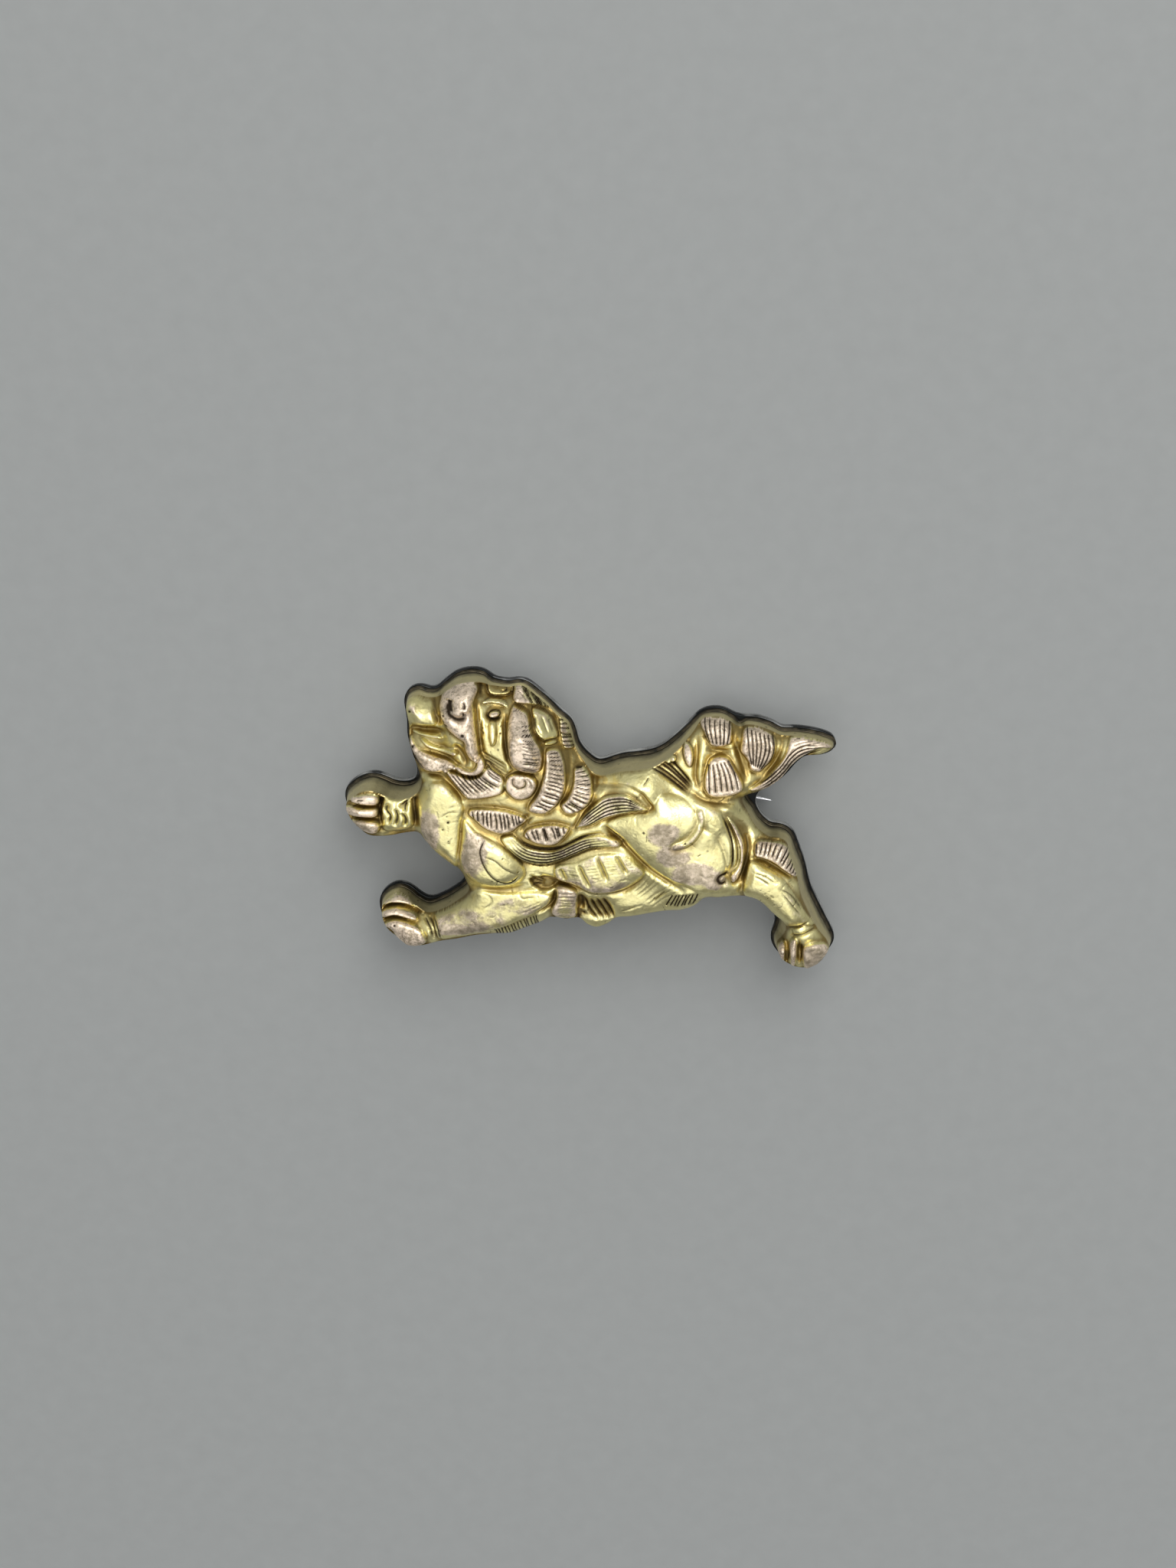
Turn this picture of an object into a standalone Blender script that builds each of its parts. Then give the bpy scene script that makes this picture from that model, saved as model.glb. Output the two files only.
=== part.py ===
"""Gilt embossed lion-dog brooch: a hollow embossed front soldered to a flat silver back plate, with a
tube hinge, a hinged pin and a C catch on the back.

Sketch units are millimetres. +Z stands out of the face, +X runs to the tail, +Y to the animal's back.
Z = 0 is the underside of the hinge tubes and of the catch, which the brooch rests on.
"""
import math

import bmesh
import bpy
import numpy as np
from mathutils import Matrix, Vector
from mathutils.geometry import delaunay_2d_cdt

# ---------------------------------------------------------------- driving dimensions, mm
CENTRE_X, CENTRE_Y = -0.153, -1.55     # middle of the whole brooch in sketch coordinates
GAP = 0.05                             # clearance between soldered neighbours, small as the pieces are

TUBE_R = 0.9                           # hinge tubes, outside
AXIS_Z = TUBE_R                        # height of the rivet's axis
TUBE_LENGTH = 1.2
BORE_R = 0.4
RIVET_R = 0.35
RIVET_HEAD_R = 0.65
RIVET_HEAD_H = 0.3
BEARER_T = 0.7
BEARER_SIZE = (2.4, 4.6)

PLATE_T = 0.6
PLATE_Z = 2.6                          # rear face of the plate
PLATE_CHAMFER = 0.08
LEDGE = 0.36                           # the plate stands this far outside the front all round
SOLDER_T = 0.15
SOLDER_OUT = 0.14
WALL_T = 0.55                          # embossed metal with its filling of solder
SHELL_Z = PLATE_Z + PLATE_T + GAP + SOLDER_T + GAP

PIN_R = 0.35
PIN_TAPER = 5.0                        # length of the tapered end
PIN_POINT_R = 0.06
PIN_EYE = (-8.4, 3.41)                 # hinge, in plan
PIN_TIP = (13.1, -0.86)                # point, in plan: it reaches past the plate between tail and leg
CATCH_FROM_TIP = 3.9                   # middle of the catch, measured back along the pin
LATCH_ANGLE = math.radians(3.2)        # the pin is sprung this far sideways to sit in the catch

CATCH_WIDTH = 1.8                      # along the pin
CATCH_T = 0.35
CATCH_BACK = 1.05                      # wall of the C, measured from the latched pin's line
CATCH_LIP = 0.5                        # lip of the C, the other way
CATCH_TOP = 2.1
CATCH_PAD_R = 1.3
CATCH_PAD_T = PLATE_Z - 2 * GAP - CATCH_TOP

FACE_GRID = 0.8                        # spacing of points over the embossed face
HOLLOW_GRID = 1.1
EDGE_DROP = 0.9                        # how far the face rolls down to its edge
EDGE_ROLL = 1.3                        # over this width

# ---------------------------------------------------------------- outline of the embossed front, plan
HEAD = [(-12.6, 2.6), (-12.9, 3.5), (-13.1, 4.4), (-13.1, 5.4), (-13.2, 6.2), (-13.3, 6.9), (-13.1, 7.5),
        (-12.5, 7.8), (-11.8, 7.6), (-11.1, 7.7), (-10.4, 8.3), (-9.6, 8.9), (-8.7, 9.1), (-7.9, 9.0),
        (-7.2, 8.5), (-6.1, 8.3), (-5.0, 8.4), (-4.0, 7.7), (-3.1, 6.9), (-2.4, 6.2), (-1.8, 5.7)]
BACK = [(-1.5, 5.0), (-1.2, 4.0), (-0.5, 3.1), (0.6, 2.5), (2.3, 3.0), (4.2, 3.3), (5.2, 3.7), (6.1, 4.4)]
TAIL = [(7.1, 5.4), (7.9, 6.2), (8.5, 6.4), (9.3, 6.4), (9.9, 6.1), (10.6, 5.7), (11.2, 5.9), (11.9, 5.8),
        (12.8, 5.5), (13.6, 5.2), (14.6, 5.2), (15.6, 5.1), (16.5, 4.8), (17.3, 4.4), (16.4, 4.0),
        (15.2, 3.9), (14.5, 3.1), (13.7, 2.1), (12.8, 1.4), (12.0, 1.0), (11.0, 0.5)]
HIND_LEG = [(11.6, -0.6), (12.1, -1.4), (12.9, -2.0), (13.7, -2.1), (14.3, -2.5), (14.7, -3.4),
            (15.2, -4.7), (15.7, -6.6), (16.7, -8.7), (17.3, -9.9), (17.5, -10.7), (16.9, -11.6),
            (16.3, -12.0), (15.5, -12.2), (14.7, -12.0), (14.0, -11.6), (13.6, -11.0), (13.5, -10.4),
            (13.8, -9.7), (13.8, -8.7), (13.2, -7.8), (12.4, -6.9), (11.6, -6.5), (10.6, -6.4)]
BELLY = [(9.4, -6.5), (8.4, -6.6), (7.7, -7.3), (6.7, -7.7), (5.6, -7.7), (4.5, -7.9), (3.1, -8.2),
         (2.0, -8.4), (1.3, -9.1), (0.5, -9.4), (-0.2, -9.2), (-0.8, -8.6), (-1.7, -8.7)]
NEAR_FORELEG = [(-2.8, -8.6), (-3.6, -9.0), (-4.8, -9.5), (-5.8, -9.9), (-7.0, -10.0), (-8.4, -10.1),
                (-9.7, -10.4), (-11.0, -10.7), (-12.4, -11.2), (-13.4, -11.2), (-14.2, -10.6),
                (-15.0, -10.0), (-15.4, -9.2), (-15.4, -8.3), (-14.9, -7.7), (-14.2, -7.4), (-13.5, -7.7),
                (-12.9, -8.2), (-12.0, -8.6), (-10.9, -8.2), (-9.8, -7.5), (-9.0, -6.7)]
CHEST = [(-9.1, -5.8), (-9.5, -5.0), (-10.3, -4.4), (-11.2, -3.7), (-11.9, -2.9), (-12.5, -2.3)]
FAR_FORELEG = [(-13.3, -2.4), (-14.8, -2.7), (-16.1, -2.7), (-16.9, -2.1), (-17.5, -1.4), (-17.8, -0.5),
               (-17.7, 0.1), (-17.2, 0.6), (-16.6, 0.95), (-15.9, 1.1), (-15.2, 0.9), (-14.5, 0.6),
               (-13.7, 0.5), (-12.9, 0.7), (-12.4, 1.4)]
OUTLINE = HEAD + BACK + TAIL + HIND_LEG + BELLY + NEAR_FORELEG + CHEST + FAR_FORELEG

# heights of the face above Z = 0 where each mass of the animal is, plan x, y, then height
MASSES = [(-16.5, -0.7, 5.7), (-13.6, -0.9, 6.1), (-10.8, -1.4, 7.0), (-9.0, 7.2, 6.7), (-12.4, 6.4, 5.3),
          (-11.8, 3.7, 5.9), (-7.0, 4.3, 7.8), (-4.6, 5.0, 8.4), (-2.2, 2.0, 8.0), (-6.8, -0.8, 8.0),
          (-7.2, -3.9, 8.1), (-7.0, -8.0, 7.2), (-11.0, -9.3, 6.4), (-13.9, -9.4, 5.7), (0.0, -1.5, 8.1),
          (1.0, -4.6, 7.8), (3.5, -7.0, 6.7), (0.5, -8.7, 5.8), (5.0, -1.0, 8.5), (8.0, -4.6, 7.9),
          (3.0, 2.2, 7.1), (8.4, -0.6, 7.4), (11.2, -1.8, 6.3), (13.4, -2.9, 6.3), (13.8, -6.0, 6.8),
          (15.7, -8.9, 6.5), (15.5, -11.2, 5.7), (6.4, 3.2, 6.0), (9.0, 5.0, 5.8), (9.7, 1.9, 6.6),
          (12.0, 4.2, 5.6), (15.5, 4.6, 4.9), (0.2, 2.9, 6.5)]

# valleys between the masses: centre line, depth and half width
VALLEYS = [([(-12.5, 2.2), (-10.4, 1.6), (-8.6, 0.4)], 1.2, 0.6),
           ([(-12.3, 0.6), (-12.4, -1.4)], 0.8, 0.5),
           ([(-9.2, -0.4), (-9.4, -2.6), (-9.4, -4.6)], 0.7, 0.5),
           ([(-5.9, 7.4), (-6.2, 5.0), (-5.7, 2.9)], 0.6, 0.4),
           ([(-3.2, 6.4), (-3.1, 3.4), (-3.7, 1.2), (-5.4, 0.2)], 0.6, 0.4),
           ([(-0.9, 3.2), (0.2, 0.8), (-1.4, -0.8), (-4.2, -1.6)], 0.7, 0.5),
           ([(-8.6, -6.2), (-5.2, -5.6), (-2.8, -5.9)], 0.6, 0.5),
           ([(0.9, -1.2), (3.5, -3.8), (6.8, -6.1)], 0.7, 0.5),
           ([(5.2, 3.1), (7.6, 0.9), (10.6, 0.9)], 0.7, 0.5),
           ([(8.2, 3.4), (10.8, 4.2), (10.6, 5.6)], 0.6, 0.4),
           ([(10.9, -0.2), (11.3, -4.6)], 0.8, 0.5)]


# ---------------------------------------------------------------- plan geometry
def normals(points):
    """Outward unit normals of a clockwise closed outline."""
    along = np.roll(points, -1, 0) - np.roll(points, 1, 0)
    along /= np.linalg.norm(along, axis=1)[:, None]
    return np.stack([-along[:, 1], along[:, 0]], 1)


def distance_to_line(xy, line, closed=False):
    """Distance from each point of xy to a polyline."""
    ends = list(zip(line[:-1], line[1:]))
    if closed:
        ends.append((line[-1], line[0]))
    best = np.full(len(xy), np.inf)
    for a, b in ends:
        a, b = np.array(a), np.array(b)
        t = np.clip((xy - a) @ (b - a) / ((b - a) @ (b - a)), 0, 1)
        best = np.minimum(best, np.linalg.norm(xy - a - t[:, None] * (b - a), axis=1))
    return best


def inside(xy, loop):
    """Which points of xy lie inside a closed loop."""
    hit = np.zeros(len(xy), bool)
    for (x1, y1), (x2, y2) in zip(loop, np.roll(loop, -1, 0)):
        if y1 == y2:
            continue
        crosses = (xy[:, 1] < y1) != (xy[:, 1] < y2)
        hit ^= crosses & (xy[:, 0] < x1 + (xy[:, 1] - y1) * (x2 - x1) / (y2 - y1))
    return hit


def inset_loop(loop, depth, spacing):
    """The outline moved inwards, left out where the shape is too narrow for it."""
    ends = np.roll(loop, -1, 0)
    steps = np.maximum(1, (np.linalg.norm(ends - loop, axis=1) / 0.25).astype(int))
    dense = np.concatenate([a + (b - a) * np.arange(n)[:, None] / n for a, b, n in zip(loop, ends, steps)])
    moved = dense - normals(dense) * depth
    moved = moved[distance_to_line(moved, loop, closed=True) > depth * 0.96]
    kept = [moved[0]]
    for point in moved[1:]:
        if np.linalg.norm(point - kept[-1]) > spacing:
            kept.append(point)
    if np.linalg.norm(kept[0] - kept[-1]) < spacing * 0.6:
        kept.pop()
    return np.array(kept)


def fill_points(loop, spacing, margin):
    """A triangular grid of points inside a loop, clear of its edge."""
    low, high = loop.min(0), loop.max(0)
    rows = np.arange(low[1], high[1], spacing * math.sqrt(3) / 2)
    grid = [(x + (spacing / 2) * (row % 2), y) for row, y in enumerate(rows)
            for x in np.arange(low[0], high[0], spacing)]
    grid = np.array(grid)
    return grid[inside(grid, loop) & (distance_to_line(grid, loop, closed=True) > margin)]


def triangles(loops, extra):
    """Triangles over the area between closed loops, through the extra points."""
    points = np.concatenate([*loops, extra]) if len(extra) else np.concatenate(loops)
    edges, start = [], 0
    for loop in loops:
        count = len(loop)
        edges += [(start + i, start + (i + 1) % count) for i in range(count)]
        start += count
    out = delaunay_2d_cdt([Vector(p) for p in points], edges, [], 0, 1e-6)
    where, faces, source = out[0], out[2], out[3]
    order = {i: sources[0] for i, sources in enumerate(source)}
    middles = np.array([np.mean([where[i] for i in face], axis=0) for face in faces])
    keep = inside(middles, loops[0])
    for hole in loops[1:]:
        keep &= ~inside(middles, hole)
    return points, [[order[i] for i in face] for face, kept in zip(faces, keep) if kept]


def face_height(xy):
    """Height of the embossed face over the plan."""
    weights = [1.0 / (np.hypot(xy[:, 0] - x, xy[:, 1] - y) + 0.3) ** 3 for x, y, _ in MASSES]
    height = sum(w * z for w, (_, _, z) in zip(weights, MASSES)) / sum(weights)
    for line, depth, width in VALLEYS:
        height -= depth * np.exp(-(distance_to_line(xy, line) / width) ** 2)
    edge = np.clip(distance_to_line(xy, OUTLINE, closed=True) / EDGE_ROLL, 0, 1)
    return height - EDGE_DROP * (1 - edge) ** 2


# ---------------------------------------------------------------- making objects
def material(name, colour, roughness, metallic=1.0):
    made = bpy.data.materials.new(name)
    made.use_nodes = True
    shader = made.node_tree.nodes["Principled BSDF"]
    shader.inputs["Base Color"].default_value = (*colour, 1.0)
    shader.inputs["Roughness"].default_value = roughness
    shader.inputs["Metallic"].default_value = metallic
    return made


def to_object(name, bm, finish, place=(0, 0, 0), turn=0.0, smooth=False):
    """Turns a bmesh in millimetres into an object in metres at its place."""
    bmesh.ops.recalc_face_normals(bm, faces=bm.faces)
    bmesh.ops.scale(bm, vec=(0.001,) * 3, verts=bm.verts)
    mesh = bpy.data.meshes.new(name)
    bm.to_mesh(mesh)
    bm.free()
    if smooth:
        mesh.shade_smooth()
        mesh.set_sharp_from_angle(angle=math.radians(35))
    mesh.materials.append(finish)
    made = bpy.data.objects.new(name, mesh)
    made.location = Vector(place) * 0.001
    made.rotation_euler = (0, 0, turn)
    bpy.context.collection.objects.link(made)
    return made


def at(x, y, z=0.0):
    """Sketch coordinates to the brooch's own, still in millimetres."""
    return (x - CENTRE_X, y - CENTRE_Y, z)


def join_rows(bm, lower, upper):
    """Quads between two closed rows of the same number of vertices."""
    count = len(lower)
    for i in range(count):
        j = (i + 1) % count
        bm.faces.new((lower[i], lower[j], upper[j], upper[i]))


def turned(bm, profile, segments):
    """Turns a profile of (radius, z) points round Z, closed at both ends on the axis."""
    verts = [bm.verts.new((r, 0, z)) for r, z in profile]
    edges = [bm.edges.new(pair) for pair in zip(verts[:-1], verts[1:])]
    bmesh.ops.spin(bm, geom=verts + edges, cent=(0, 0, 0), axis=(0, 0, 1), angle=2 * math.pi,
                   steps=segments, use_merge=True)
    bmesh.ops.remove_doubles(bm, verts=bm.verts, dist=1e-5)


for old in list(bpy.data.objects):
    bpy.data.objects.remove(old)

OUTLINE = np.array(OUTLINE)
gilt = material("gilt", (0.80, 0.66, 0.24), 0.33)
silver = material("silver", (0.42, 0.42, 0.41), 0.25)
solder = material("solder", (0.45, 0.38, 0.24), 0.45)
steel = material("steel", (0.72, 0.72, 0.72), 0.22)

# ---------------------------------------------------------------- embossed front: hollow, open behind
hollow = inset_loop(OUTLINE, WALL_T, 0.75)
face_xy, face_tris = triangles([OUTLINE], fill_points(OUTLINE, FACE_GRID, FACE_GRID * 0.45))
roof_xy, roof_tris = triangles([hollow], fill_points(hollow, HOLLOW_GRID, HOLLOW_GRID * 0.45))
foot_xy, foot_tris = triangles([OUTLINE, hollow], [])
face_z = face_height(face_xy)
roof_z = np.maximum(face_height(roof_xy) - WALL_T, SHELL_Z + 0.6)

bm = bmesh.new()
face = [bm.verts.new(at(x, y, z)) for (x, y), z in zip(face_xy, face_z)]
roof = [bm.verts.new(at(x, y, z)) for (x, y), z in zip(roof_xy, roof_z)]
foot = [bm.verts.new(at(x, y, SHELL_Z)) for x, y in foot_xy]
for row, tris in ((face, face_tris), (roof, roof_tris), (foot, foot_tris)):
    for tri in tris:
        bm.faces.new([row[i] for i in tri])
edge_count = len(OUTLINE)
join_rows(bm, foot[:edge_count], face[:edge_count])
join_rows(bm, foot[edge_count:], roof[:len(hollow)])
to_object("lion_front", bm, gilt)

# ---------------------------------------------------------------- solder seam under the front's foot
seam_out = OUTLINE + normals(OUTLINE) * SOLDER_OUT
seam_xy, seam_tris = triangles([seam_out, hollow], [])
bm = bmesh.new()
seam_z = PLATE_Z + PLATE_T + GAP
rows = [[bm.verts.new(at(x, y, z)) for x, y in seam_xy] for z in (seam_z, seam_z + SOLDER_T)]
for row in rows:
    for tri in seam_tris:
        bm.faces.new([row[i] for i in tri])
join_rows(bm, rows[0][:edge_count], rows[1][:edge_count])
join_rows(bm, rows[0][edge_count:], rows[1][edge_count:])
to_object("rim_solder", bm, solder)

# ---------------------------------------------------------------- back plate with softened edges
bm = bmesh.new()
rows = []
for z, out in ((0, LEDGE - PLATE_CHAMFER), (PLATE_CHAMFER, LEDGE), (PLATE_T - PLATE_CHAMFER, LEDGE),
               (PLATE_T, LEDGE - PLATE_CHAMFER)):
    loop = OUTLINE + normals(OUTLINE) * out
    rows.append([bm.verts.new(at(x, y, PLATE_Z + z)) for x, y in loop])
for lower, upper in zip(rows[:-1], rows[1:]):
    join_rows(bm, lower, upper)
bm.faces.new(rows[0])
bm.faces.new(rows[-1])
to_object("back_plate", bm, silver)

# ---------------------------------------------------------------- tube hinge
# The hinge's own frame has X along the pin, Y along the rivet, and its origin on the rivet's axis.
pin_line = Vector(PIN_TIP) - Vector(PIN_EYE)
pin_turn = math.atan2(pin_line.y, pin_line.x)
hinge_place = at(*PIN_EYE, AXIS_Z)


def tube(name, centre_y, foot_width, foot_top, finish):
    """A short tube along Y with a round bore, and a flat-topped foot of solder where foot_top is set."""
    steps = 32
    bm = bmesh.new()
    rows = []
    for radius_of in (None, BORE_R):
        for side in (-0.5, 0.5):
            row = []
            for i in range(steps):
                angle = 2 * math.pi * i / steps
                dx, dz = math.cos(angle), math.sin(angle)
                reach = TUBE_R if radius_of is None else radius_of
                if radius_of is None and foot_top and dz > 0:
                    to_side = foot_width / 2 / abs(dx) if abs(dx) > 1e-6 else math.inf
                    reach = max(reach, min(foot_top / dz, to_side))
                row.append(bm.verts.new((reach * dx, centre_y + side * TUBE_LENGTH, reach * dz)))
            rows.append(row)
    outer_low, outer_high, inner_low, inner_high = rows
    join_rows(bm, outer_low, outer_high)
    join_rows(bm, inner_low, inner_high)
    join_rows(bm, outer_low, inner_low)
    join_rows(bm, outer_high, inner_high)
    return to_object(name, bm, finish, hinge_place, pin_turn, smooth=True)


tube_step = TUBE_LENGTH + GAP
foot_top = PLATE_Z - GAP - BEARER_T - GAP - AXIS_Z
tube("hinge_tube_upper", tube_step, 1.3, foot_top, silver)
tube("hinge_tube_lower", -tube_step, 1.3, foot_top, silver)
tube("pin_eye", 0.0, 0.0, 0.0, steel)

bm = bmesh.new()
bmesh.ops.create_cube(bm, size=1.0)
bmesh.ops.scale(bm, vec=(*BEARER_SIZE, BEARER_T), verts=bm.verts)
bmesh.ops.translate(bm, vec=(0, 0, PLATE_Z - GAP - BEARER_T / 2 - AXIS_Z), verts=bm.verts)
upright = [e for e in bm.edges if abs((e.verts[0].co - e.verts[1].co).z) > BEARER_T / 2]
bmesh.ops.bevel(bm, geom=upright, offset=0.35, segments=3, profile=0.5, affect="EDGES", material=-1)
to_object("hinge_bearer", bm, silver, hinge_place, pin_turn)

# the rivet: a plain shank through the three tubes, closed over at both ends
half = 1.5 * TUBE_LENGTH + 2 * GAP
bm = bmesh.new()
dome = [(RIVET_HEAD_R * math.cos(a), half + RIVET_HEAD_H * math.sin(a))
        for a in (i * math.pi / 8 for i in range(4))]
dome.append((0.0, half + RIVET_HEAD_H))
profile = dome[::-1] + [(RIVET_R, half)]
profile += [(r, -z) for r, z in profile[::-1]]
turned(bm, profile, 24)
bmesh.ops.rotate(bm, cent=(0, 0, 0), matrix=Matrix.Rotation(math.pi / 2, 3, "X"), verts=bm.verts)
to_object("hinge_rivet", bm, steel, hinge_place, pin_turn, smooth=True)

# ---------------------------------------------------------------- pin wire, ground to a point
wire_start = TUBE_R + GAP
wire_end = pin_line.length
taper = [(wire_end - PIN_TAPER * (1 - t), PIN_R + (PIN_POINT_R - PIN_R) * t ** 1.5)
         for t in (0, 0.35, 0.65, 0.85, 0.97)]
profile = [(0.0, wire_start), (PIN_R - 0.05, wire_start), (PIN_R, wire_start + 0.05)]
profile += [(r, x) for x, r in taper] + [(0.0, wire_end)]
bm = bmesh.new()
turned(bm, profile, 16)
bmesh.ops.rotate(bm, cent=(0, 0, 0), matrix=Matrix.Rotation(math.pi / 2, 3, "Y"), verts=bm.verts)
to_object("pin_wire", bm, steel, hinge_place, pin_turn, smooth=True)

# ---------------------------------------------------------------- catch: a pad with a C of flat strip
latched_turn = pin_turn - LATCH_ANGLE
flex_pivot = Vector(PIN_EYE) + Vector((math.cos(pin_turn), math.sin(pin_turn))) * wire_start
reach = pin_line.length - wire_start - CATCH_FROM_TIP
catch_xy = flex_pivot + Vector((math.cos(latched_turn), math.sin(latched_turn))) * reach
catch_place = at(*catch_xy, 0.0)


def strip(path, thickness):
    """The closed outline of a strip bent along a path, in the Y-Z plane."""
    path = np.array(path)
    along = np.gradient(path, axis=0)
    along /= np.linalg.norm(along, axis=1)[:, None]
    across = np.stack([-along[:, 1], along[:, 0]], 1) * thickness / 2
    return np.concatenate([path + across, (path - across)[::-1]])


def arc(centre, radius, start, end, steps):
    angles = np.radians(np.linspace(start, end, steps))
    return [(centre[0] + radius * math.cos(a), centre[1] + radius * math.sin(a)) for a in angles]


half_t = CATCH_T / 2
bend = 0.5
middle_y = -(CATCH_BACK - half_t)
path = [(0.35, CATCH_TOP - half_t)]
path += arc((middle_y + bend, CATCH_TOP - half_t - bend), bend, 90, 180, 5)
path += arc((middle_y + bend, half_t + bend), bend, 180, 270, 5)
path += [(0.0, half_t), (CATCH_LIP, half_t)]
section = strip(path, CATCH_T)
bm = bmesh.new()
first = bm.faces.new([bm.verts.new((-CATCH_WIDTH / 2, y, z)) for y, z in section])
grown = bmesh.ops.extrude_face_region(bm, geom=[first])
bmesh.ops.translate(bm, vec=(CATCH_WIDTH, 0, 0),
                    verts=[v for v in grown["geom"] if isinstance(v, bmesh.types.BMVert)])
to_object("catch_hook", bm, silver, catch_place, latched_turn)

bm = bmesh.new()
pad_low = CATCH_TOP + GAP
pad = [(0, pad_low), (CATCH_PAD_R - 0.1, pad_low), (CATCH_PAD_R, pad_low + 0.1),
       (CATCH_PAD_R, pad_low + CATCH_PAD_T), (0, pad_low + CATCH_PAD_T)]
turned(bm, pad, 32)
bmesh.ops.translate(bm, vec=(0, -0.3, 0), verts=bm.verts)
to_object("catch_pad", bm, silver, catch_place, latched_turn, smooth=True)
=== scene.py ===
"""A gilt lion-dog brooch, from its embossed front to the pin on its back.

Sizes are millimetres in the maker's pattern and metres once a piece is made. +Z stands out of the face,
+X runs to the tail, +Y to the animal's back.
"""
import math

import bmesh
import bpy
import numpy as np
from mathutils import Matrix, Vector
from mathutils.kdtree import KDTree


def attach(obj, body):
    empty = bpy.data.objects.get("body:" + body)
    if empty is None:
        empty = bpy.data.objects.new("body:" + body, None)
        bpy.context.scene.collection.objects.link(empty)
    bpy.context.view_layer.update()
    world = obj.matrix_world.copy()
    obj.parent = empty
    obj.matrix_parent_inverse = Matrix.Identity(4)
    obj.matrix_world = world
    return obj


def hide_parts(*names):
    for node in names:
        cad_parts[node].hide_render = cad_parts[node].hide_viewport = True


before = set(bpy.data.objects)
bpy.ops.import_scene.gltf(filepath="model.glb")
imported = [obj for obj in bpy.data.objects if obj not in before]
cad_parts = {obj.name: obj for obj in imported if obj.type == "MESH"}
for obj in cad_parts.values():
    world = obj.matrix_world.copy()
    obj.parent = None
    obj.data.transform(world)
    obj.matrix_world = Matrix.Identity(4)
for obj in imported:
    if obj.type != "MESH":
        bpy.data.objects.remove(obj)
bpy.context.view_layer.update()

# ------------------------------------------------------------------------------------------------
# Embossed front: its outline.
# The real front is thin silver sheet, raised from behind and chased from the front, then gilded.
# Its foot stands on the plate, and a wall leans in from the foot to the shoulder where the face starts.

MM = 0.001
MIDDLE = (-0.153, -1.55)        # middle of the whole brooch in the pattern
FOOT_Z = 3.45                   # underside of the wall, on the solder seam
CELL = 0.0705

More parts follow.
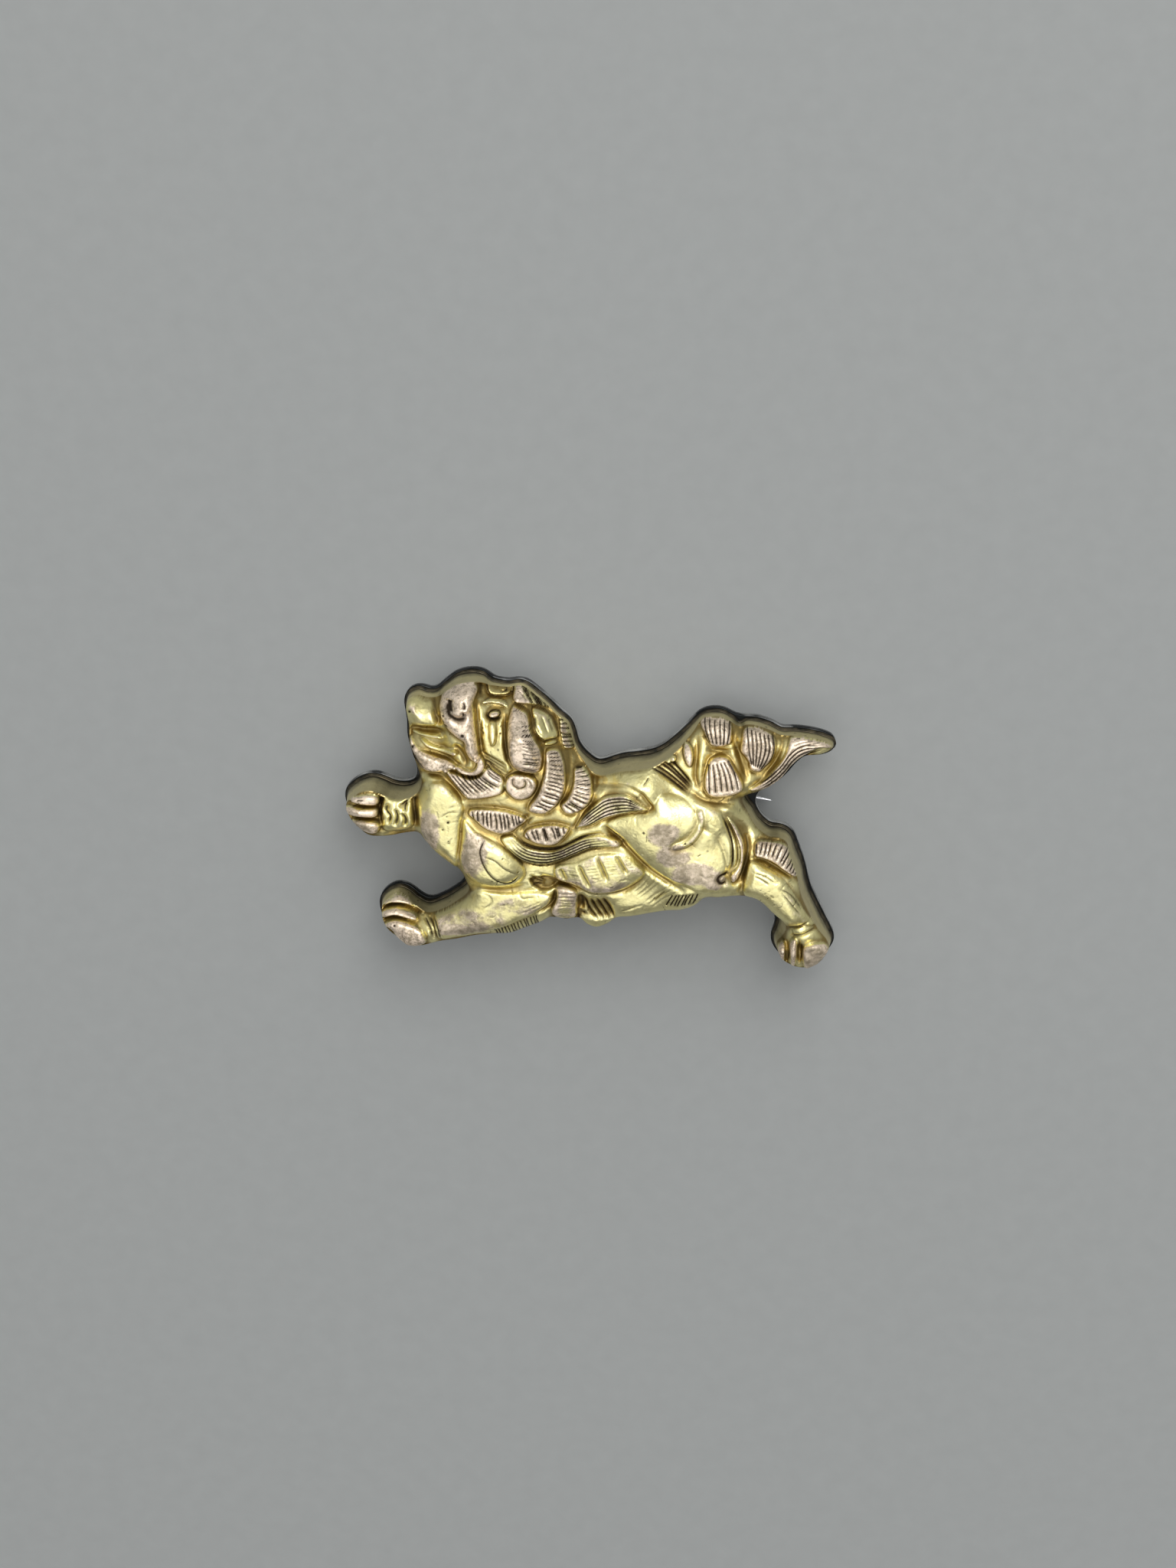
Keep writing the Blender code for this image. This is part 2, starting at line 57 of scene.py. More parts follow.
# each stretch of the foot: how far the wall leans in, how wide the roll above it is, then plan x, y and
# the height of the shoulder
FOOT = [
    (0.05, 1.5, [(-12.6, 2.6, 5.0), (-12.9, 3.5, 5.0), (-13.1, 4.4, 5.0), (-13.1, 5.4, 5.0),
                 (-13.2, 6.2, 5.0), (-13.3, 6.9, 5.0), (-13.1, 7.5, 4.7)]),
    (0.15, 1.5, [(-12.5, 7.8, 4.3), (-11.8, 7.6, 4.1), (-11.1, 7.7, 4.3), (-10.4, 8.3, 5.0),
                 (-9.6, 8.9, 5.4), (-8.7, 9.1, 5.4), (-7.9, 9.0, 5.0)]),
    (0.05, 2.6, [(-7.2, 8.5, 4.1), (-6.1, 8.3, 3.8), (-5.0, 8.4, 3.75), (-4.0, 7.7, 3.75),
                 (-3.1, 6.9, 3.75), (-2.4, 6.2, 3.8), (-1.8, 5.7, 3.8), (-1.5, 5.0, 3.8),
                 (-1.2, 4.0, 3.9), (-0.5, 3.1, 4.6)]),
    (0.20, 1.4, [(0.6, 2.5, 5.7), (2.3, 3.0, 6.3), (4.2, 3.3, 6.5), (5.2, 3.7, 6.0),
                 (6.1, 4.4, 5.6), (7.1, 5.4, 4.6)]),
    (0.02, 1.0, [(7.9, 6.25, 4.3), (8.5, 6.5, 4.4), (9.3, 6.5, 4.4), (9.9, 6.2, 4.3),
                 (10.6, 5.75, 4.1), (11.2, 5.95, 4.3), (11.9, 5.9, 4.4), (12.8, 5.6, 4.4),
                 (13.6, 5.2, 4.2), (14.6, 5.2, 4.4), (15.6, 5.1, 4.4), (16.5, 4.9, 4.4)]),
    (0.08, 1.1, [(17.1, 4.65, 4.3), (17.3, 4.38, 4.2), (17.1, 4.08, 4.3), (16.4, 3.8, 4.4),
                 (15.3, 3.7, 4.6), (14.5, 3.1, 4.7), (13.7, 2.1, 4.8), (12.8, 1.4, 4.8),
                 (12.0, 1.0, 4.8), (11.0, 0.5, 4.7)]),
    (0.15, 1.3, [(11.6, -0.6, 5.0), (12.1, -1.4, 5.1), (12.9, -2.0, 5.3), (13.7, -2.1, 5.4),
                 (14.3, -2.5, 5.4)]),
    (0.30, 1.2, [(14.7, -3.4, 5.6), (15.2, -4.7, 6.0), (15.7, -6.6, 6.0), (16.7, -8.7, 5.7)]),
    (0.10, 1.3, [(17.3, -9.9, 5.4), (17.5, -10.7, 5.3), (16.9, -11.6, 5.4), (16.3, -12.0, 5.5),
                 (15.5, -12.2, 5.5), (14.7, -12.0, 5.5), (14.0, -11.6, 5.4)]),
    (0.15, 1.1, [(13.6, -11.0, 5.2), (13.5, -10.4, 4.9)]),
    (0.45, 1.1, [(13.7, -9.7, 4.9), (13.8, -8.9, 5.4)]),
    (0.12, 1.3, [(13.2, -7.8, 6.0), (12.4, -6.9, 6.3), (11.6, -6.5, 6.3), (10.6, -6.4, 6.5)]),
    (0.08, 1.4, [(9.4, -6.5, 6.5), (8.4, -6.6, 6.4), (7.7, -7.3, 6.0), (6.7, -7.7, 6.0),
                 (5.6, -7.7, 6.3), (4.5, -7.9, 6.3), (3.1, -8.2, 6.3), (2.0, -8.4, 6.1),
                 (1.3, -9.1, 5.5), (0.5, -9.4, 5.5), (-0.2, -9.2, 5.5), (-0.8, -8.6, 5.8),
                 (-1.7, -8.7, 5.8), (-2.8, -8.6, 5.8), (-3.6, -9.0, 5.8), (-4.8, -9.5, 5.8),
                 (-5.8, -9.9, 5.8), (-7.0, -10.0, 5.8), (-8.4, -10.1, 6.0), (-9.7, -10.4, 6.0),
                 (-11.0, -10.7, 5.8), (-12.4, -11.2, 5.5), (-13.4, -11.2, 5.5), (-14.2, -10.6, 5.5),
                 (-15.0, -10.0, 5.3), (-15.4, -9.2, 5.1), (-15.4, -8.3, 4.8)]),
    (0.15, 1.2, [(-14.9, -7.7, 4.2), (-14.2, -7.4, 4.0), (-13.5, -7.7, 4.1), (-12.9, -8.2, 4.6),
                 (-12.0, -8.6, 5.0), (-10.9, -8.2, 5.3), (-9.8, -7.5, 5.4), (-9.0, -6.7, 5.6)]),
    (0.08, 1.4, [(-9.1, -5.8, 5.9), (-9.5, -5.0, 6.0), (-10.3, -4.4, 6.0), (-11.2, -3.7, 6.0),
                 (-11.9, -2.9, 6.0), (-12.5, -2.3, 5.8), (-13.3, -2.4, 5.6), (-14.8, -2.7, 5.6),
                 (-16.1, -2.7, 5.5), (-16.9, -2.1, 5.5), (-17.5, -1.4, 5.5), (-17.8, -0.5, 5.5)]),
    (0.25, 1.2, [(-17.7, 0.1, 5.7), (-17.2, 0.6, 5.9), (-16.6, 0.95, 6.0), (-15.9, 1.1, 6.1),
                 (-15.2, 0.9, 6.1), (-14.5, 0.6, 6.1), (-13.7, 0.5, 6.1), (-12.9, 0.7, 6.0),
                 (-12.4, 1.4, 5.6)]),
]


def curve(points, closed=False, step=0.06):
    """A smooth curve through points of any dimension, as closely spaced points."""
    points = np.array(points, float)
    if closed:
        padded = np.concatenate([points[-1:], points, points[:2]])
    else:
        first, last = 2 * points[0] - points[1], 2 * points[-1] - points[-2]
        padded = np.concatenate([[first], points, [last]])
    out = []
    for a, b, c, d in zip(padded, padded[1:], padded[2:], padded[3:]):
        count = max(2, int(np.linalg.norm((c - b)[:2]) / step))
        t = (np.arange(count) / count)[:, None]
        out.append(0.5 * (2 * b + (c - a) * t + (2 * a - 5 * b + 4 * c - d) * t ** 2
                          + (3 * b - a - 3 * c + d) * t ** 3))
    if not closed:
        out.append(points[-1:])
    return np.concatenate(out)


def inward(loop):
    """Unit normals pointing into a clockwise closed outline."""
    along = np.roll(loop, -1, 0) - np.roll(loop, 1, 0)
    along /= np.linalg.norm(along, axis=1)[:, None]
    return np.stack([along[:, 1], -along[:, 0]], 1)


foot = curve([(x, y, z, lean, roll) for lean, roll, stretch in FOOT for x, y, z in stretch], closed=True,
             step=0.04)
SMOOTHINGS = 12                 # how often heights, leans and rolls are averaged with their neighbours'
for _ in range(SMOOTHINGS):
    foot[:, 2:] = (np.roll(foot[:, 2:], 1, 0) + foot[:, 2:] + np.roll(foot[:, 2:], -1, 0)) / 3
shoulder = foot[:, :3].copy()
shoulder[:, :2] += inward(foot[:, :2]) * foot[:, 3:4]
FLARE = 0.12                    # how far the wall turns out at its foot
foot[:, :2] -= inward(foot[:, :2]) * FLARE

# ------------------------------------------------------------------------------------------------
# Embossed front: its masses.
# The sheet is first pushed out from behind over pitch, so the animal's big forms are low round swellings
# that roll down to the shoulder of the wall.

# plan x, y and height of each swelling: legs, head, mane, chest, barrel, haunch and tail in turn
SWELLINGS = [
    (-16.5, -0.7, 6.5), (-13.6, -0.9, 6.7), (-15.3, -0.6, 6.2),
    (-10.8, -1.4, 7.3), (-10.3, 0.6, 7.3), (-9.0, 7.0, 7.0), (-8.6, 4.6, 7.3), (-12.0, 6.4, 5.7),
    (-11.3, 3.9, 6.3), (-7.0, 4.3, 7.4), (-6.4, 7.0, 6.6), (-4.6, 5.0, 7.9), (-4.3, 7.6, 6.2),
    (-2.9, 5.3, 6.7), (-2.2, 2.0, 7.7), (-0.4, 1.4, 7.5), (-6.8, -0.8, 7.7), (-7.2, -3.9, 8.0),
    (-7.0, -8.0, 7.1), (-10.6, -9.2, 6.7), (-13.9, -9.4, 6.1), (-13.9, -8.2, 5.3),
    (0.0, -1.5, 7.8), (1.0, -4.6, 7.9), (-3.3, -5.6, 7.2), (3.5, -7.0, 7.0), (0.5, -8.7, 6.1),
    (5.0, -1.0, 8.25), (3.6, 1.2, 7.9), (8.0, -4.6, 8.0), (8.4, -0.6, 7.9), (10.2, -2.6, 7.7),
    (11.7, -1.6, 6.2), (13.4, -3.1, 6.5), (12.6, -5.2, 7.2), (14.3, -7.0, 7.1),
    (15.7, -8.9, 6.7), (15.5, -11.2, 6.3), (6.4, 3.2, 6.3), (9.0, 5.0, 5.7), (9.7, 1.9, 6.5),
    (12.0, 4.2, 5.6), (12.8, 2.9, 5.4), (15.5, 4.6, 5.1), (0.2, 2.9, 6.3)]

MARGIN = 4 * CELL               # how far the sheet's grid runs on past the foot
low, high = foot[:, :2].min(0) - MARGIN, foot[:, :2].max(0) + MARGIN
columns, rows = (int(n) for n in (high - low) / CELL)
bm = bmesh.new()
bmesh.ops.create_grid(bm, x_segments=columns, y_segments=rows, size=0.5)
bmesh.ops.scale(bm, vec=(columns * CELL, rows * CELL, 1), verts=bm.verts)
bmesh.ops.translate(bm, vec=(*(low + high) / 2, 0), verts=bm.verts)
plan = np.array([v.co.xy for v in bm.verts])

tree = KDTree(len(shoulder))
for i, (x, y, z) in enumerate(shoulder):
    tree.insert((x, y, 0), i)
tree.balance()
nearest = np.array([tree.find((x, y, 0))[1] for x, y in plan])
off = plan - shoulder[nearest, :2]
side = np.sign((off * inward(shoulder[:, :2])[nearest]).sum(1))
depth_in = side * np.linalg.norm(off, axis=1)      # distance inside the shoulder, negative outside

BLUNT, FALL = 0.5, 1.9          # how blunt a swelling's top is, and how fast its pull dies away
weights = [((plan[:, 0] - x) ** 2 + (plan[:, 1] - y) ** 2 + BLUNT) ** -FALL for x, y, _ in SWELLINGS]
crown = sum(w * z for w, (_, _, z) in zip(weights, SWELLINGS)) / sum(weights)
roll = foot[nearest, 4]
rise = np.clip(depth_in / roll, 0, 1)
edge_z = shoulder[nearest, 2]
gentle = np.interp(roll, [1.2, 2.6], [0.75, 1.1])  # a wide roll starts less steeply
height = edge_z + (crown - edge_z) * (1 - (1 - rise) ** 2.2) ** gentle

# The pattern of the face is drawn as it looks from EYE, on the plane at DRAWN_Z. This carries each point
# of the swelling sheet to its place in that drawing.
EYE = np.array([12.61, 60.89, 187.8])
DRAWN_Z = 7.6
shrink = (EYE[2] - DRAWN_Z) / (EYE[2] - height)
drawn = EYE[:2] + (plan - EYE[:2]) * shrink[:, None]

# ------------------------------------------------------------------------------------------------
# Embossed front: the punches and chisels.
# patch() raises a form with a chased outline, line() is one cut of a chisel, strands() lays cuts side by
# side between two others, and rungs() cuts across between two edges.

chased = np.zeros(len(plan))    # dark patina left in cuts
worn = np.zeros(len(plan))      # gilding rubbed off high places
painted_shade = np.zeros(len(plan))      # painted shade: deep gold darkening laid over sunk ground and round raised forms
dull = np.zeros(len(plan))      # bare silver that has tarnished
random = np.random.default_rng(7)

# how far a seam's groove and its patina reach inside an outline and outside it, and the painted shade round
# it
GROOVE_REACH = 0.09, 0.30
PATINA_REACH = 0.07, 0.12
SHADE_HALO_REACH = 0.35


def close_to(path, reach, closed=False):
    """Points of the drawing within reach of a path: their indices, distance, place along it and side."""
    lo, hi = path.min(0) - reach, path.max(0) + reach
    some = np.flatnonzero((drawn > lo).all(1) & (drawn < hi).all(1))
    at = drawn[some]
    ends = np.roll(path, -1, 0) if closed else path[1:]
    starts = path if closed else path[:-1]
    best = np.full(len(some), np.inf)
    along = np.zeros(len(some))
    side = np.zeros(len(some))
    for i, (a, b) in enumerate(zip(starts, ends)):
        run = b - a
        t = np.clip((at - a) @ run / (run @ run), 0, 1)
        gap = at - a - t[:, None] * run
        far = np.hypot(gap[:, 0], gap[:, 1])
        nearer = far < best
        best = np.where(nearer, far, best)
        along = np.where(nearer, (i + t) / len(starts), along)
        side = np.where(nearer, np.sign(run[0] * gap[:, 1] - run[1] * gap[:, 0]), side)
    return some, best, along, side


def enclosed(at, loop):
    """Which of the points lie inside a closed loop."""
    hit = np.zeros(len(at), bool)
    for (x1, y1), (x2, y2) in zip(loop, np.roll(loop, -1, 0)):
        if y1 != y2:
            crosses = (at[:, 1] < y1) != (at[:, 1] < y2)
            hit ^= crosses & (at[:, 0] < x1 + (at[:, 1] - y1) * (x2 - x1) / (y2 - y1))
    return hit


def line(points, width=0.09, depth=0.10, dark=0.9, fade=0.2, smooth=True):
    """One cut: a groove of half width `width` that runs out at both ends."""
    path = curve(points, step=0.12) if smooth else np.array(points, float)
    some, far, along, _ = close_to(path, 3 * width)
    taper = np.clip(np.minimum(along, 1 - along) / fade, 0, 1) ** 0.6 if fade else 1
    cut = np.exp(-(far / width) ** 2) * taper
    height[some] -= depth * cut
    chased[some] = np.maximum(chased[some], dark * np.exp(-(far / (width * 0.85)) ** 2) * taper)


def patch(points, rise=0.5, roll=0.4, rub=0.0, seam=0.13, seam_dark=0.45):
    """A raised form inside a closed outline, with a shallow chased seam round it."""
    loop = curve(points, closed=True, step=0.12)
    some, far, _, _ = close_to(loop, 0.6, closed=True)
    inner = enclosed(drawn[some], loop)
    u = np.where(inner, np.clip(far / roll, 0, 1), 0)
    height[some] += rise * (1 - (1 - u) ** 2) ** 0.7
    worn[some] = np.maximum(worn[some], rub * np.clip(far * inner / 0.15, 0, 1))
    painted_shade[some] *= 1 - np.clip(far * inner / 0.25, 0, 1)
    if seam:
        height[some] -= seam * np.exp(-(far / np.where(inner, *GROOVE_REACH)) ** 2)
        # painted shade: a ring of deep gold darkening round each raised form, outside its seam
        shade_halo = np.where(inner, 0, 1.5 * seam_dark * np.exp(-(far / SHADE_HALO_REACH) ** 2))
        painted_shade[some] = np.maximum(painted_shade[some], shade_halo)
        cut = seam_dark * np.exp(-(far / np.where(inner, *PATINA_REACH)) ** 2)
        chased[some] = np.maximum(chased[some], cut)


def sink(points, depth=0.15, shade_amount=0.6, soft=0.35, dark=0.0):
    """Ground set back behind the raised forms."""
    loop = curve(points, closed=True, step=0.15)
    some, far, _, _ = close_to(loop, 0.1, closed=True)
    inner = enclosed(drawn[some], loop) * np.clip(far / soft, 0, 1)
    height[some] -= depth * inner
    # painted shade: deep gold darkening over the sunk ground
    painted_shade[some] = np.maximum(painted_shade[some], shade_amount * inner)
    chased[some] = np.maximum(chased[some], dark * inner)


def strands(first, last, count, jitter=0.0, skip_ends=False, **cut):
    """Cuts laid side by side, changing from the first line's course to the last one's."""
    first, last = curve(first, step=0.2), curve(last, step=0.2)
    even = np.linspace(0, 1, 24)
    a, b = (np.stack([np.interp(even, np.linspace(0, 1, len(p)), p[:, k]) for k in (0, 1)], 1)
            for p in (first, last))
    places = np.linspace(0, 1, count + 2)[1:-1] if skip_ends else np.linspace(0, 1, count)
    for place in places:
        place += random.normal(0, jitter)
        line(a + (b - a) * place, smooth=False, **cut)


def rungs(left, right, count, start=0.04, end=0.96, inset=(0.0, 1.0), jitter=0.01, **cut):
    """Cuts across from one edge to the other."""
    left, right = curve(left, step=0.1), curve(right, step=0.1)
    for place in np.linspace(start, end, count):
        place = min(max(place + random.normal(0, jitter), 0), 1)
        a = left[int(place * (len(left) - 1))]
        b = right[int(place * (len(right) - 1))]
        span = b - a
        bow = np.array([span[1], -span[0]]) * random.normal(0, 0.03)
        line([a + span * inset[0], a + span * (inset[0] + inset[1]) / 2 + bow, a + span * inset[1]], **cut)


def pit(x, y, radius=0.09, depth=0.12):
    """One round punch mark."""
    far = np.hypot(drawn[:, 0] - x, drawn[:, 1] - y)
    height[:] -= depth * np.exp(-(far / radius) ** 2)
    chased[:] = np.maximum(chased, np.exp(-(far / radius) ** 2))


# ------------------------------------------------------------------------------------------------
# Embossed front: the head.
# A blunt muzzle lifted to the left, open jaws with the tongue between them, an eye under a coiled brow,
# and a long smooth tuft behind the cheek.

sink([(-8.1, 9.9), (-5.3, 9.8), (-5.2, 8.2), (-5.7, 7.5), (-5.6, 3.2), (-6.5, 3.2), (-7.6, 4.2),
     (-8.1, 8.0)], shade_amount=0.45)
sink([(-12.7, 6.4), (-10.3, 6.3), (-8.7, 5.0), (-8.4, 3.4), (-9.3, 3.2), (-12.5, 5.2)], shade_amount=0.5)
# muzzle: the near half is rubbed bare, the far half shows past it
patch([(-10.9, 9.15), (-12.1, 9.25), (-12.9, 8.5), (-13.0, 7.4), (-12.6, 6.55), (-11.6, 6.3), (-10.7, 6.5),
       (-10.6, 7.6)], rise=0.35, roll=0.9, seam=0.08, seam_dark=0.2)
line([(-10.85, 9.2), (-10.9, 8.2), (-10.8, 7.2), (-10.5, 6.3)], width=0.2, depth=0.45, dark=0.6)
patch([(-8.1, 9.98), (-9.1, 9.95), (-9.85, 9.45), (-10.35, 8.75), (-10.55, 7.85), (-10.4, 6.9),
       (-10.0, 6.2), (-9.4, 5.6), (-8.85, 5.2), (-8.75, 4.6), (-8.45, 4.0), (-8.0, 3.7), (-7.65, 4.1),
       (-7.75, 4.9), (-7.95, 6.0), (-8.05, 7.1), (-8.1, 8.2), (-7.8, 9.0)],
      rise=0.8, roll=0.7, rub=1.1, seam=0.15)
line([(-9.75, 8.6), (-9.9, 7.9), (-9.75, 7.35), (-9.25, 7.0), (-8.75, 7.1), (-8.6, 7.65)], width=0.26,
     depth=0.42, dark=0.85)
line([(-9.7, 8.5), (-9.72, 8.0), (-9.65, 7.5)], width=0.26, depth=0.4, dark=1.0, fade=0.1)
line([(-8.75, 8.35), (-8.65, 8.0), (-8.75, 7.7)], width=0.13, depth=0.2, dark=0.9)
line([(-8.8, 7.6), (-8.75, 7.2)], width=0.1, depth=0.15, dark=0.9)
for x, y, r in ((-10.25, 6.75, 0.13), (-10.05, 6.5, 0.15), (-10.45, 7.45, 0.07), (-10.2, 7.25, 0.11),
                (-8.85, 5.85, 0.17), (-9.5, 9.1, 0.06), (-8.8, 9.65, 0.07), (-8.3, 9.35, 0.06),
                (-12.62, 7.45, 0.12), (-12.45, 4.9, 0.13), (-9.2, 6.2, 0.05), (-9.4, 6.3, 0.05)):
    pit(x, y, r)
line([(-7.65, 9.9), (-7.65, 9.1), (-7.7, 8.4)], width=0.3, depth=0.5, dark=0.7)
line([(-7.9, 8.3), (-7.85, 7.0), (-7.7, 5.5), (-7.5, 4.3)], width=0.16, depth=0.3, dark=0.6)

# tongue and the lower jaw
line([(-12.6, 6.25), (-11.7, 6.0), (-10.8, 6.0), (-10.1, 5.9)], width=0.22, depth=0.3, dark=0.4)
patch([(-12.5, 6.0), (-11.5, 5.8), (-10.6, 5.7), (-10.35, 5.4), (-11.2, 5.45), (-12.2, 5.7)], rise=0.4,
      roll=0.25, seam_dark=0.35)
patch([(-12.0, 5.45), (-11.1, 5.0), (-10.2, 4.75), (-9.3, 4.4), (-9.5, 4.1), (-10.5, 4.4), (-11.5, 4.75)],
      rise=0.35, roll=0.25, seam_dark=0.35)
line([(-9.6, 5.0), (-9.1, 4.4), (-8.8, 3.8), (-8.6, 3.4)], width=0.22, depth=0.35, dark=0.5)
patch([(-12.6, 5.65), (-12.3, 5.0), (-11.8, 4.55), (-10.8, 4.2), (-9.9, 3.9), (-9.35, 3.4), (-9.8, 3.05),
       (-11.0, 2.95), (-11.8, 3.2), (-12.4, 4.2), (-12.65, 5.0)], rise=0.6, roll=0.4, rub=1.1)
strands([(-12.62, 4.95), (-12.4, 4.1), (-11.9, 3.3)], [(-12.3, 4.5), (-12.05, 3.9), (-11.6, 3.3)], 3,
        width=0.07, depth=0.07)
# lip, curling round the corner of the mouth
patch([(-7.65, 4.3), (-7.3, 3.6), (-7.5, 3.0), (-8.1, 2.7), (-8.9, 2.8), (-9.6, 3.3), (-9.3, 3.45),
       (-8.7, 3.15), (-8.2, 3.15), (-7.95, 3.6), (-8.1, 4.2)], rise=0.4, roll=0.2, rub=1.0)

# beard
patch([(-10.3, 3.15), (-9.5, 2.95), (-8.6, 2.6), (-7.8, 2.75), (-7.2, 3.4), (-6.5, 3.1), (-5.95, 2.5),
       (-5.95, 1.7), (-6.6, 1.25), (-8.5, 0.95), (-9.4, 1.8)], rise=0.35, roll=0.25, rub=0.75)
strands([(-10.15, 3.05), (-9.4, 2.1), (-8.6, 1.15)], [(-7.7, 2.8), (-7.0, 2.3), (-6.3, 1.9)],
        9, jitter=0.015, width=0.085, depth=0.14, dark=1.0)
strands([(-7.55, 4.0), (-6.8, 3.4), (-5.95, 2.75)], [(-7.3, 3.2), (-6.8, 2.7), (-6.1, 2.3)], 4, width=0.08,
        depth=0.12, dark=0.9)

# brow, eye and cheek
patch([(-7.1, 9.6), (-6.6, 9.8), (-5.8, 9.75), (-5.35, 9.5), (-5.35, 8.95), (-5.8, 8.7), (-6.7, 8.65),
       (-7.1, 8.95)], rise=0.3, roll=0.25, seam=0.25, seam_dark=0.9)
sink([(-7.3, 9.9), (-5.2, 9.8), (-5.2, 8.5), (-7.3, 8.5)], depth=0.05, shade_amount=1.0, dark=0.25)
line([(-6.5, 9.3), (-6.2, 9.5), (-5.8, 9.4), (-5.75, 9.1), (-6.05, 9.0), (-6.25, 9.15)], width=0.09,
     depth=0.16, dark=0.9)
patch([(-7.5, 8.05), (-7.0, 8.45), (-6.4, 8.45), (-5.85, 8.2), (-5.7, 7.8), (-6.3, 8.05), (-7.0, 8.1)],
      rise=0.3, roll=0.15, seam=0.1, seam_dark=0.6)
line([(-7.2, 7.6), (-6.7, 7.8), (-6.1, 7.75), (-5.85, 7.4)], width=0.1, depth=0.15, dark=0.5)
eye_turn = math.radians(15)


def ellipse(x, y, half_x, half_y, turn=0.0, count=14):
    """Points round an ellipse, clockwise."""
    angles = -np.arange(count) * 2 * math.pi / count
    a, b = half_x * np.cos(angles), half_y * np.sin(angles)
    return [(x + p * math.cos(turn) - q * math.sin(turn), y + p * math.sin(turn) + q * math.cos(turn))
            for p, q in zip(a, b)]


patch(ellipse(-6.65, 7.27, 0.42, 0.27, eye_turn), rise=0.3, roll=0.2, rub=0.7, seam=0.15, seam_dark=0.9)
line([(-7.05, 7.4), (-7.15, 7.1), (-6.85, 6.88), (-6.45, 6.92), (-6.18, 7.15)],
     width=0.12, depth=0.15, dark=1.0)
patch([(-7.0, 6.7), (-6.6, 6.75), (-6.45, 6.0), (-6.55, 5.2), (-6.85, 4.9), (-7.05, 5.6)],
      rise=0.3, roll=0.25, seam=0.08)
line([(-7.55, 6.9), (-7.6, 6.2), (-7.45, 5.5)], width=0.12, depth=0.15, dark=0.6)
line([(-5.85, 7.5), (-5.95, 6.4), (-5.9, 5.0), (-5.7, 4.0), (-5.4, 3.2)], width=0.16, depth=0.3, dark=0.7)
for x, y, r in ((-7.5, 6.2, 0.07), (-7.45, 5.85, 0.06), (-6.25, 5.85, 0.1), (-6.2, 6.4, 0.07)):
    pit(x, y, r, 0.07)
strands([(-7.7, 4.5), (-6.8, 4.0), (-5.8, 3.4)], [(-7.5, 3.9), (-6.7, 3.5), (-5.8, 2.9)], 3, width=0.1,
        depth=0.16, dark=0.7)

# the long smooth tuft behind the cheek, cut across on its back half
patch([(-5.35, 7.9), (-4.9, 7.85), (-4.35, 7.65), (-4.1, 7.2), (-4.0, 6.2), (-3.75, 5.6), (-3.4, 5.0),
       (-3.15, 4.2), (-3.25, 3.5), (-3.55, 3.05), (-4.2, 2.95), (-5.0, 3.15), (-5.5, 3.7), (-5.72, 4.6),
       (-5.75, 5.8), (-5.65, 6.9)], rise=0.9, roll=0.75, rub=0.9, seam=0.2, seam_dark=0.5)
rungs([(-4.75, 6.7), (-4.7, 5.5), (-4.7, 4.2), (-4.75, 3.2)],
      [(-4.0, 6.5), (-3.6, 5.3), (-3.15, 4.1), (-3.5, 3.0)],
      14, inset=(0.0, 0.95), width=0.07, depth=0.1, dark=0.95)
line([(-5.4, 8.1), (-4.9, 8.05), (-4.3, 7.7)], width=0.08, depth=0.14, dark=0.8)
line([(-5.35, 7.75), (-4.95, 7.7), (-4.45, 7.45)], width=0.07, depth=0.1, dark=0.7)

# forelock and ear
patch([(-5.3, 9.55), (-4.65, 9.8), (-3.8, 9.6), (-3.05, 9.0), (-2.4, 8.35), (-2.3, 7.8), (-3.3, 7.95),
       (-4.2, 8.1), (-5.25, 8.3)], rise=0.5, roll=0.4, rub=0.4)
line([(-5.1, 9.3), (-4.6, 8.9), (-4.2, 8.3)], width=0.1, depth=0.15, dark=0.7)
strands([(-4.8, 9.8), (-4.3, 8.9), (-3.9, 8.2)], [(-2.9, 8.75), (-2.55, 8.2), (-2.4, 7.8)], 9, jitter=0.02,
        width=0.085, depth=0.14, dark=1.0, fade=0.06)
patch([(-3.95, 7.85), (-3.25, 7.75), (-2.6, 7.2), (-2.25, 6.4), (-2.15, 5.7), (-2.6, 5.5), (-3.2, 5.5),
       (-3.75, 6.1), (-3.95, 7.0)], rise=0.45, roll=0.35, seam=0.2, seam_dark=0.7)
line([(-3.75, 7.4), (-3.7, 6.6), (-3.3, 5.9)], width=0.16, depth=0.3, dark=0.75)
strands([(-3.3, 7.4), (-3.05, 6.7), (-2.8, 6.0)], [(-2.9, 7.3), (-2.65, 6.7), (-2.45, 6.1)], 2, width=0.11,
        depth=0.22, dark=0.75)
patch(ellipse(-2.7, 5.25, 0.5, 0.22, 0.2), rise=0.3, roll=0.2, seam=0.15, seam_dark=0.6)

# ------------------------------------------------------------------------------------------------
# Embossed front: the mane.
# Rows of flat curls, each cut across with short strokes, with long locks flowing back below them.

sink([(-8.8, 1.0), (-6.0, 1.3), (-5.8, 3.2), (-3.2, 5.3), (-2.4, 7.9), (-0.8, 7.4), (-0.2, 4.4), (0.8, 3.6),
      (1.4, 2.6), (0.6, 0.8), (-0.4, -0.6), (-0.9, -1.5), (-2.4, -2.9), (-4.5, -2.8), (-6.5, -2.4),
      (-8.4, -1.3)],
     shade_amount=0.7)
sink([(0.2, 1.6), (1.2, 2.4), (3.2, 2.2), (4.4, 1.2), (4.8, 0.1), (2.8, -0.3), (1.3, -0.7), (-0.3, -1.3),
      (-1.2, -1.0)], shade_amount=0.6)
patch([(-2.15, 7.5), (-1.5, 7.45), (-1.1, 6.9), (-0.95, 6.0), (-0.95, 5.0), (-1.7, 4.9), (-2.0, 5.8),
       (-2.1, 6.8)], rise=0.35, roll=0.25, rub=0.5)
rungs([(-2.15, 7.4), (-2.05, 6.2), (-1.75, 4.9)], [(-1.1, 7.3), (-0.85, 6.2), (-0.85, 5.0)], 8, width=0.095,
      depth=0.2, dark=1.0, fade=0.08)
